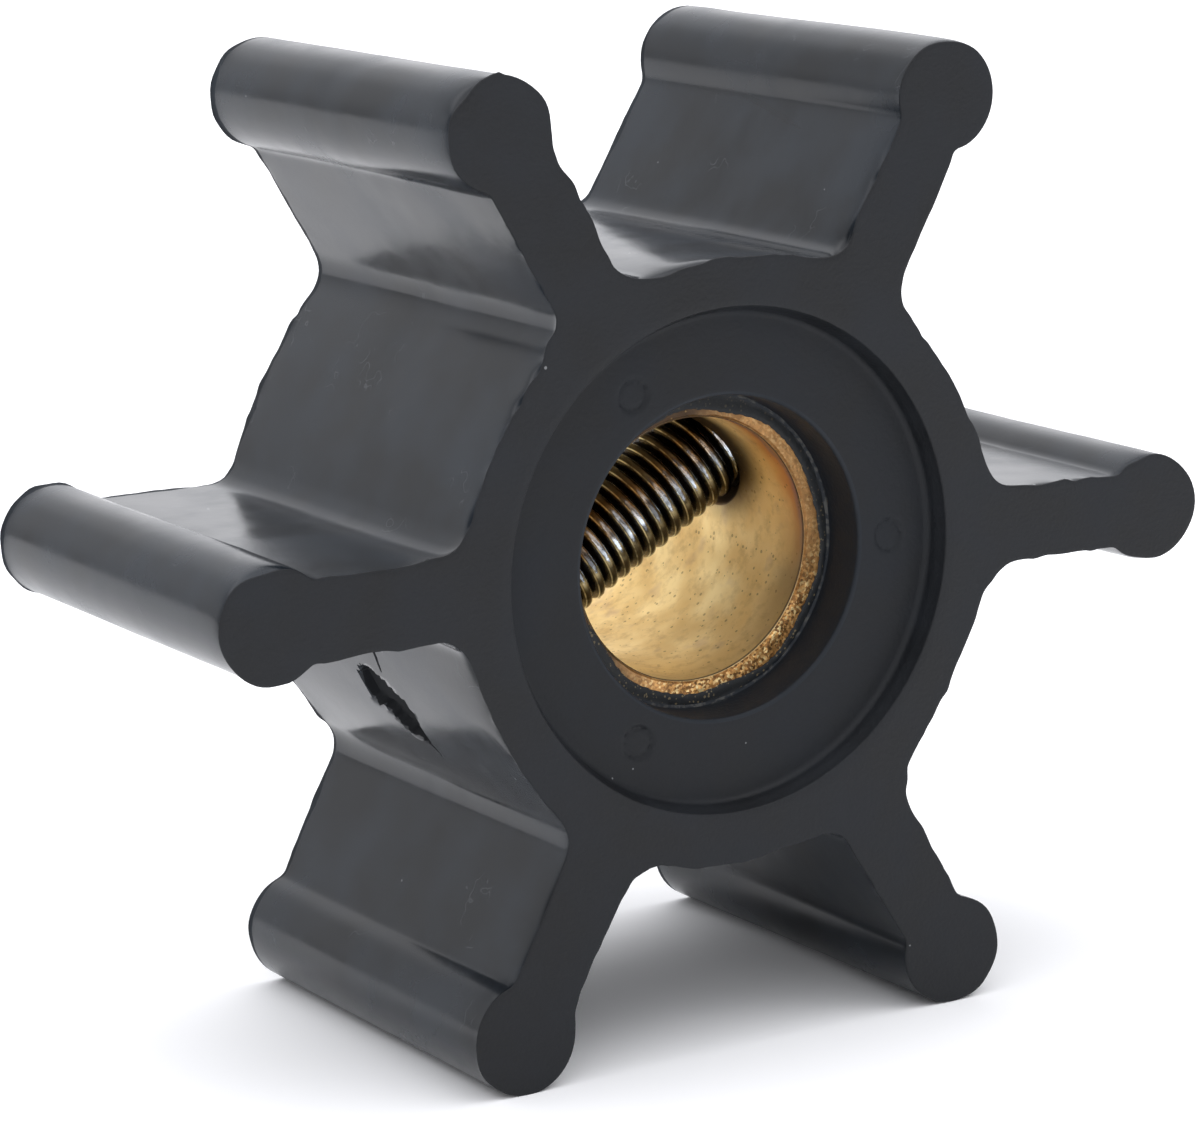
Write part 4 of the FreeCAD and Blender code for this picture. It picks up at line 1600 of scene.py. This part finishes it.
@dataclass(frozen=True)
class BrassFinish(Finish):
    """Brass with cloudy tarnish, dark specks and either a smooth or a rough skin.

    Attributes:
        pale: Colour of the clean metal.
        tarnish: Colour of the clouds.
        share: Strength of the tarnish.
        gloss: Mean roughness.
        relief: Height of the grain in metres.
        fine: Scale of the fine grain, per metre.
        coarse: Scale of the clouds, per metre.
        stained_and_shaded: Whether the bore's smudges and tint, with painted shade and shadow, are
            laid on.
        torn_with_painted_light: Whether it is the torn end face: painted shade on the left, painted
            glints below.
        metal: How metallic it is; a tarnished skin less so.
    """

    pale: tuple = (0.85, 0.62, 0.30)
    tarnish: tuple = (0.56, 0.36, 0.15)
    share: float = 0.55
    gloss: float = 0.34
    relief: float = 0.000004
    fine: float = 3800.0
    coarse: float = 420.0
    stained_and_shaded: bool = False
    torn_with_painted_light: bool = False
    metal: float = 1.0

    def looks(self, graph: Surface, effects: Effects) -> tuple:
        """Metal under clouds of tarnish, then the bore's marks and painted shade or the torn end's
        painted light, and dark specks over all.

        Args:
            graph: The material's surface.
            effects: The shared node groups.

        Returns:
            Colour, roughness, height of the grain and the relief in metres.
        """
        height, cloud = effects.grain(graph, self.fine, self.coarse, share=0.3)
        dust = effects.dust(graph, scale=3900.0, rareness=0.6, size=0.34)
        body = graph.blend(graph.times(cloud, self.share), self.pale, self.tarnish)
        if self.stained_and_shaded:
            body = self.stains_and_shade(graph, body)
        if self.torn_with_painted_light:
            body = self.lit_torn_end(graph, body)
        body = graph.blend(graph.times(dust, 0.55), body, BRASS_SPECK)
        gloss = graph.span(cloud, 0.0, 1.0, self.gloss - 0.06, self.gloss + 0.12)
        graph.shader.inputs["Metallic"].default_value = self.metal
        return body, gloss, height, self.relief

    def lit_torn_end(self, graph: Surface, body: object) -> Socket:
        """Colour of the end face: chips and a bright rim low on the right, brown on the left.

        The rim is a painted highlight and the brown on the left is painted shade. Each cell of a
        fine Voronoi pattern is one chip with its own tone, from a dark pit to a painted glint.

        Args:
            graph: The surface.
            body: Colour of the tarnished brass.

        Returns:
            The colour with the torn parts and the painted light and shade laid on.
        """
        # The pits are real; the bright chip tones are painted glints, laid on most strongly low on
        # the right, where the light falls.
        chips = graph.node("TexVoronoi", {"Vector": graph.place, "Scale": 8500.0})
        glint = graph.ramp(graph.red(chips.outputs["Color"]), *CHIPS_AND_GLINTS)
        low = graph.dot(graph.place, LOW_RIGHT)
        share = graph.span(low, 0.003, 0.0056, 0.18, 0.85)
        # Painted highlight: a bright line along the bore's edge, low on the right, where the
        # chamfer would catch the light.
        rim = graph.math("LESS_THAN", graph.radius, BORE_EDGE)
        body = graph.blend(share, body, glint)
        body = graph.blend(graph.times(rim, share), body, BRASS_RIM_HIGHLIGHT)
        # Painted shade: the end face darkened to brown towards the left.
        left = graph.dot(graph.place, LEFT)
        return graph.blend(graph.span(left, -0.0008, 0.0024, high=0.95), body, LEFT_SHADE_BRASS)

    def stains_and_shade(self, graph: Surface, body: object) -> Socket:
        """The bore's marks: smudges, heat tint with painted shade by the front edge, and a stain
        with painted shadow by the screw.

        Smudges are where noise is high. The heat tint follows the depth behind the front
        edge, moved to and fro by noise, mostly above on the right; its dark tones at the edge,
        and the dull brown that takes its place below the axis, are painted shade. The stain and
        painted shadow fade with the distance from a point beside the screw's upper end.

        Args:
            graph: The surface.
            body: Colour of the tarnished brass.

        Returns:
            The colour with the stains laid on.
        """
        smudge = graph.span(graph.noise(1500.0, 6.0, 0.65), 0.49, 0.70, high=0.42)
        cool = graph.span(graph.noise(520.0), 0.58, 0.74, high=0.5)
        body = graph.blend(cool, graph.blend(smudge, body, SMUDGE), COOL_SMUDGE)
        sway = graph.sway(380.0, 0.0016)
        # Heat tint behind the bore's front edge; its dark tones at the edge, and the dull brown
        # below the axis, are painted shade.
        edge = graph.plus(graph.axes["Y"], BORE_FRONT)
        share = graph.math("DIVIDE", graph.plus(edge, sway), HEAT_TINT_AND_SHADE_DEPTH)
        lower_shade = graph.span(graph.axes["Z"], 0.002, -0.002)
        tint = graph.blend(lower_shade, graph.ramp(share, *HEAT_TINT_AND_SHADE), LOW_EDGE_SHADE)
        aside = graph.plus(graph.axes["X"], graph.times(graph.axes["Z"], 0.7))
        strength = graph.times(graph.red(graph.ramp(share, *HEAT_TINT_AND_SHADE_STRENGTH)),
                               graph.span(aside, 0.0, 0.0055, 0.3, 1.0))
        body = graph.blend(strength, body, tint)
        body = graph.blend(graph.span(edge, 0.0, 0.0001, 0.9, 0.0), body, EDGE_LINE)
        # A stain and painted shadow round the screw's upper end, where the screw shades the bore.
        away = graph.node("VectorMath", {0: graph.place, 1: STAIN_AND_SHADOW_MIDDLE},
                          operation="DISTANCE").outputs["Value"]
        away = graph.plus(away, graph.times(sway, 0.6))
        return graph.blend(graph.span(away, 0.0027, 0.0049, 0.96, 0.0, "SMOOTHSTEP"), body, STAIN_AND_SHADOW)


@dataclass(frozen=True)
class SteelFinish(Finish):
    """Dark threaded steel: painted highlight lines along both rims of the crest, darker roots.

    Attributes:
        bright: Colour of the painted highlight lines on the crest rims.
        middle: Colour of the painted highlight patches between them.
        black: Colour of the oxide.
        root_tone: Colour of the roots.
        rim: Height of the rims over the root, of 1.
        gloss: Roughness of the crests.
        dull: Roughness of the roots.
        relief: Height of the grain in metres.
    """

    bright: tuple = (0.80, 0.91, 1.0)
    middle: tuple = (0.62, 0.68, 0.74)
    black: tuple = (0.072, 0.071, 0.071)
    root_tone: tuple = (0.045, 0.037, 0.030)
    rim: float = 0.86
    gloss: float = 0.17
    dull: float = 0.36
    relief: float = 0.00003

    def looks(self, graph: Surface, effects: Effects) -> tuple:
        """Painted highlight lines on the crest rims, painted highlight patches between, dark roots.

        Args:
            graph: The material's surface.
            effects: The shared node groups.

        Returns:
            Colour, roughness, height of the grain and the relief in metres.
        """
        crest = graph.node("Attribute", attribute_name="crest").outputs["Fac"]
        height, cloud = effects.grain(graph, fine=3400.0, coarse=900.0, share=0.5)
        upper = graph.dot(graph.place, ABOVE_SCREW)
        # Painted reflection: a brown band along the screw's upper side, where it mirrors the brass
        # bore.
        brown = graph.times(self.band(graph, upper, 0.0012, 0.0004, 0.0011),
                            graph.plus(cloud, 0.35))
        # Painted highlight: bright lines along the crest rims, broken up by noise.
        line = graph.span(graph.math("ABSOLUTE", graph.minus(crest, self.rim)),
                          0.012, 0.06, 1.0, 0.0)
        highlight_breaks = graph.span(graph.noise(1900.0), 0.36, 0.55, low=0.15)
        # Painted highlight: brighter patches on the crests, in a band along the screw's side where
        # the light is mirrored.
        patch = graph.times(graph.span(graph.noise(1300.0), 0.40, 0.60, low=0.08),
                            self.band(graph, upper, 0.0003, 0.0006, 0.0014))
        climb = graph.span(crest, 0.25, 0.8)
        body = graph.blend(climb, self.root_tone, self.black)
        body = graph.blend(graph.times(graph.span(crest, 0.88, 0.95), patch), body, self.middle)
        body = graph.blend(graph.times(line, highlight_breaks), body, self.bright)
        body = graph.blend(brown, body, BRASS_REFLECTION_TINT, "MULTIPLY")
        graph.shader.inputs["Metallic"].default_value = 1.0
        return body, graph.span(climb, 0.0, 1.0, self.dull, self.gloss), height, self.relief

    def band(self, graph: Surface, across: object, middle: float, full: float,
             reach: float) -> Socket:
        """Mask along the stud's side: 1 up to `full` metres from the middle, 0 from `reach` on."""
        away = graph.math("ABSOLUTE", graph.minus(across, middle))
        return graph.span(away, full, reach, 1.0, 0.0, "SMOOTHSTEP")


def towards(azimuth: float, elevation: float) -> tuple:
    """Unit vector at two angles in degrees: azimuth 0 looks from the front, 90 from the right."""
    turn, rise = math.radians(azimuth), math.radians(elevation)
    return math.sin(turn) * math.cos(rise), -math.cos(turn) * math.cos(rise), math.sin(rise)


@dataclass(frozen=True)
class StudioCamera:
    """Camera at the photograph's viewing angle. Angles in degrees, lengths in millimetres."""

    azimuth: float = -30.922
    elevation: float = 11.854
    roll: float = -0.922
    distance: float = 215.665
    lens: float = 139.779
    target_x: float = -0.383
    target_z: float = -2.052

    def place(self) -> None:
        """Makes the camera: its back axis follows azimuth and elevation, then it rolls."""
        roll = math.radians(self.roll)
        back = Vector(towards(self.azimuth, self.elevation))
        level = (-back).cross(Vector((0.0, 0.0, 1.0))).normalized()
        upright = level.cross(-back)
        right = level * math.cos(roll) + upright * math.sin(roll)
        up = upright * math.cos(roll) - level * math.sin(roll)
        data = bpy.data.cameras.new("studio_camera")
        data.sensor_fit = "HORIZONTAL"
        data.sensor_width = 36.0
        data.lens = self.lens
        data.clip_start = 0.01
        camera = put("studio_camera", data)
        at = (Vector((self.target_x, 0.0, self.target_z)) + back * self.distance) * MM
        camera.matrix_world = (Matrix.Translation(at)
                               @ Matrix((right, up, back)).transposed().to_4x4())
        bpy.context.scene.camera = camera


@dataclass(frozen=True)
class Glow:
    """Soft round patch of light in the surroundings. Angles in degrees.

    Attributes:
        azimuth: Where it stands, as for the camera.
        elevation: Its height angle.
        level: Its brightness.
        inner: Angle from its middle up to which it is full.
        outer: Angle at which it has faded to nothing.
    """

    azimuth: float
    elevation: float
    level: float
    inner: float = 12.0
    outer: float = 38.0


@dataclass
class Studio:
    """White floor and a white tent with soft patches of light.

    Attributes:
        floor_size: Length of the floor's sides, in metres.
        floor_light: How much light the floor throws back on the pieces.
        floor_seen: How white it is where it is seen or mirrored.
        ambient: Even level of the surroundings.
        tint: Their colour.
        glows: The patches of light.
    """

    floor_size: float = 8.0
    floor_light: float = 0.88
    floor_seen: float = 1.04
    ambient: float = 0.34
    tint: tuple = (0.985, 0.99, 1.025)
    glows: tuple = (
        Glow(-30.0, 34.0, 1.04), Glow(30.0, 34.0, 0.42), Glow(150.0, 34.0, 0.75),
        Glow(210.0, 34.0, 0.55), Glow(-30.0, 64.0, 0.40), Glow(60.0, 64.0, 1.57),
        Glow(150.0, 64.0, 0.55), Glow(-120.0, 64.0, 1.65), Glow(150.0, 4.0, 0.64, 8.0, 34.0),
        Glow(195.0, 4.0, 0.21, 8.0, 34.0), Glow(240.0, 4.0, 0.61, 8.0, 34.0),
    )

    def world(self) -> None:
        """White surroundings where they are seen; elsewhere an even level plus the glows.

        Each glow is its level times a smooth step of the cosine of the angle to its middle.
        """
        world = bpy.data.worlds.new("white_tent")
        world.use_nodes = True
        bpy.context.scene.world = world
        graph = Graph(world.node_tree)
        background = world.node_tree.nodes["Background"]
        seen = graph.node("LightPath").outputs["Is Camera Ray"]
        way = graph.node("TexCoord").outputs["Generated"]
        total = self.ambient
        for glow in self.glows:
            near = graph.dot(way, towards(glow.azimuth, glow.elevation))
            outer, inner = (math.cos(math.radians(angle)) for angle in (glow.outer, glow.inner))
            total = graph.plus(total, graph.span(near, outer, inner, 0.0, glow.level, "SMOOTHSTEP"))
        strength = graph.node("Mix", {0: seen, 2: total, 3: 1.0}).outputs[0]
        graph.feed(background.inputs["Color"], graph.blend(seen, self.tint, WHITE))
        graph.feed(background.inputs["Strength"], strength)

    def floor(self, left: np.ndarray, right: np.ndarray, drop: float) -> None:
        """Lays the floor against two round tips: a plane through both tips' lowest points.

        Args:
            left: Middle of the left tip in X and Z, in millimetres.
            right: Middle of the right tip.
            drop: Radius of the tips.
        """
        along = (right - left) / np.linalg.norm(right - left)
        normal = np.array([-along[1], along[0]])
        middle = (left + right) / 2 - normal * drop
        reach = self.floor_size / 2 / MM
        side, depth = np.meshgrid([-reach, reach], [-reach, reach], indexing="ij")
        points = np.stack([middle[0] + side * along[0], depth, middle[1] + side * along[1]],
                          axis=-1)
        mesh = bpy.data.meshes.new("studio_floor")
        mesh.from_pydata(points.reshape(-1, 3) * MM, [], [[0, 2, 3, 1]])
        mesh.materials.append(self.floor_material())
        plane = put("studio_floor", mesh)

    def floor_material(self) -> Material:
        """Matte white paper that keeps shadows, a little whiter where it is seen or mirrored.

        Returns:
            The material.
        """
        graph = Surface("white_paper")
        path = graph.node("LightPath").outputs
        mirrored = graph.math("MAXIMUM", path["Is Glossy Ray"], path["Is Transmission Ray"])
        seen = graph.math("MAXIMUM", path["Is Camera Ray"], mirrored)
        graph.feed(graph.shader.inputs["Base Color"],
                   graph.span(seen, 0.0, 1.0, self.floor_light, self.floor_seen))
        graph.shader.inputs["Roughness"].default_value = 0.9
        graph.shader.inputs["Specular IOR Level"].default_value = 0.0
        return graph.material

    def build(self, rubber: RubberStar) -> None:
        """Builds floor, surroundings and camera, and sets the plain view transform.

        Args:
            rubber: The rubber, which stands on its two lower tips.
        """
        self.world()
        self.floor(rubber.tip(4), rubber.tip(5), rubber.bulb)
        StudioCamera().place()
        bpy.context.scene.view_settings.view_transform = "Standard"


def carry(piece: Piece, node: str) -> None:
    """Puts a piece in the place of its CAD node: the node is hidden and the piece rides on the one
    body.

    Args:
        piece: The piece.
        node: Name of the CAD node.
    """
    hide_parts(node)
    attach(piece, BODY)
    log.info("%s stands for %s", piece.name, node)


GROUND = RubberFinish("rubber_ground", mottle=0.4)
MOULDED = RubberFinish("rubber_moulded", colour=(0.0082, 0.0116, 0.0162), gloss_low=0.14,
                       gloss_high=0.24, fine=2600.0, relief=0.000003, specks=0.86, sheen_level=0.3,
                       tip_gloss=0.05, mottle=0.5, scuffed=True, rips=RIPS)
# Painted shade: the recess rubber is a slightly darker copy of the ground rubber.
RECESS = RubberFinish("rubber_recess", colour=(0.0066, 0.0080, 0.0104), gloss_low=0.5,
                      gloss_high=0.64, relief=0.00002, sheen_level=0.28, mottle=0.35,
                      mouth_flecks_and_light=True)
BORE = BrassFinish("brass_bore", pale=(0.97, 0.755, 0.37), tarnish=(0.88, 0.645, 0.285), gloss=0.56,
                   relief=0.0000015, stained_and_shaded=True)
END = BrassFinish("brass_end", pale=(0.62, 0.34, 0.13), tarnish=(0.30, 0.15, 0.055), share=0.8,
                  relief=0.00002, fine=7000.0, coarse=1300.0, torn_with_painted_light=True, metal=0.68)
# Painted shade: the cross hole round the screw gets a much darker copy of the brass.
HOLE = BrassFinish("brass_hole", pale=(0.30, 0.19, 0.09), tarnish=(0.06, 0.035, 0.02), gloss=0.6)
STEEL = SteelFinish("screw_steel")


def main() -> None:
    """Builds the impeller's three pieces and the studio."""
    logging.basicConfig(level=logging.INFO, format="%(name)s: %(message)s")
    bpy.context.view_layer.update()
    effects = Effects()
    ground, moulded, recess, bore, end, hole, steel = (
        finish.material(effects) for finish in (GROUND, MOULDED, RECESS, BORE, END, HOLE, STEEL))
    rubber = RubberStar()
    carry(rubber.build([ground, moulded, recess]), "rubber_impeller")
    carry(BrassBush().build([bore, end, hole]), "brass_bush")
    carry(CrossScrew().build([steel]), "drive_screw")
    Studio().build(rubber)


if __name__ == "__main__":
    main()
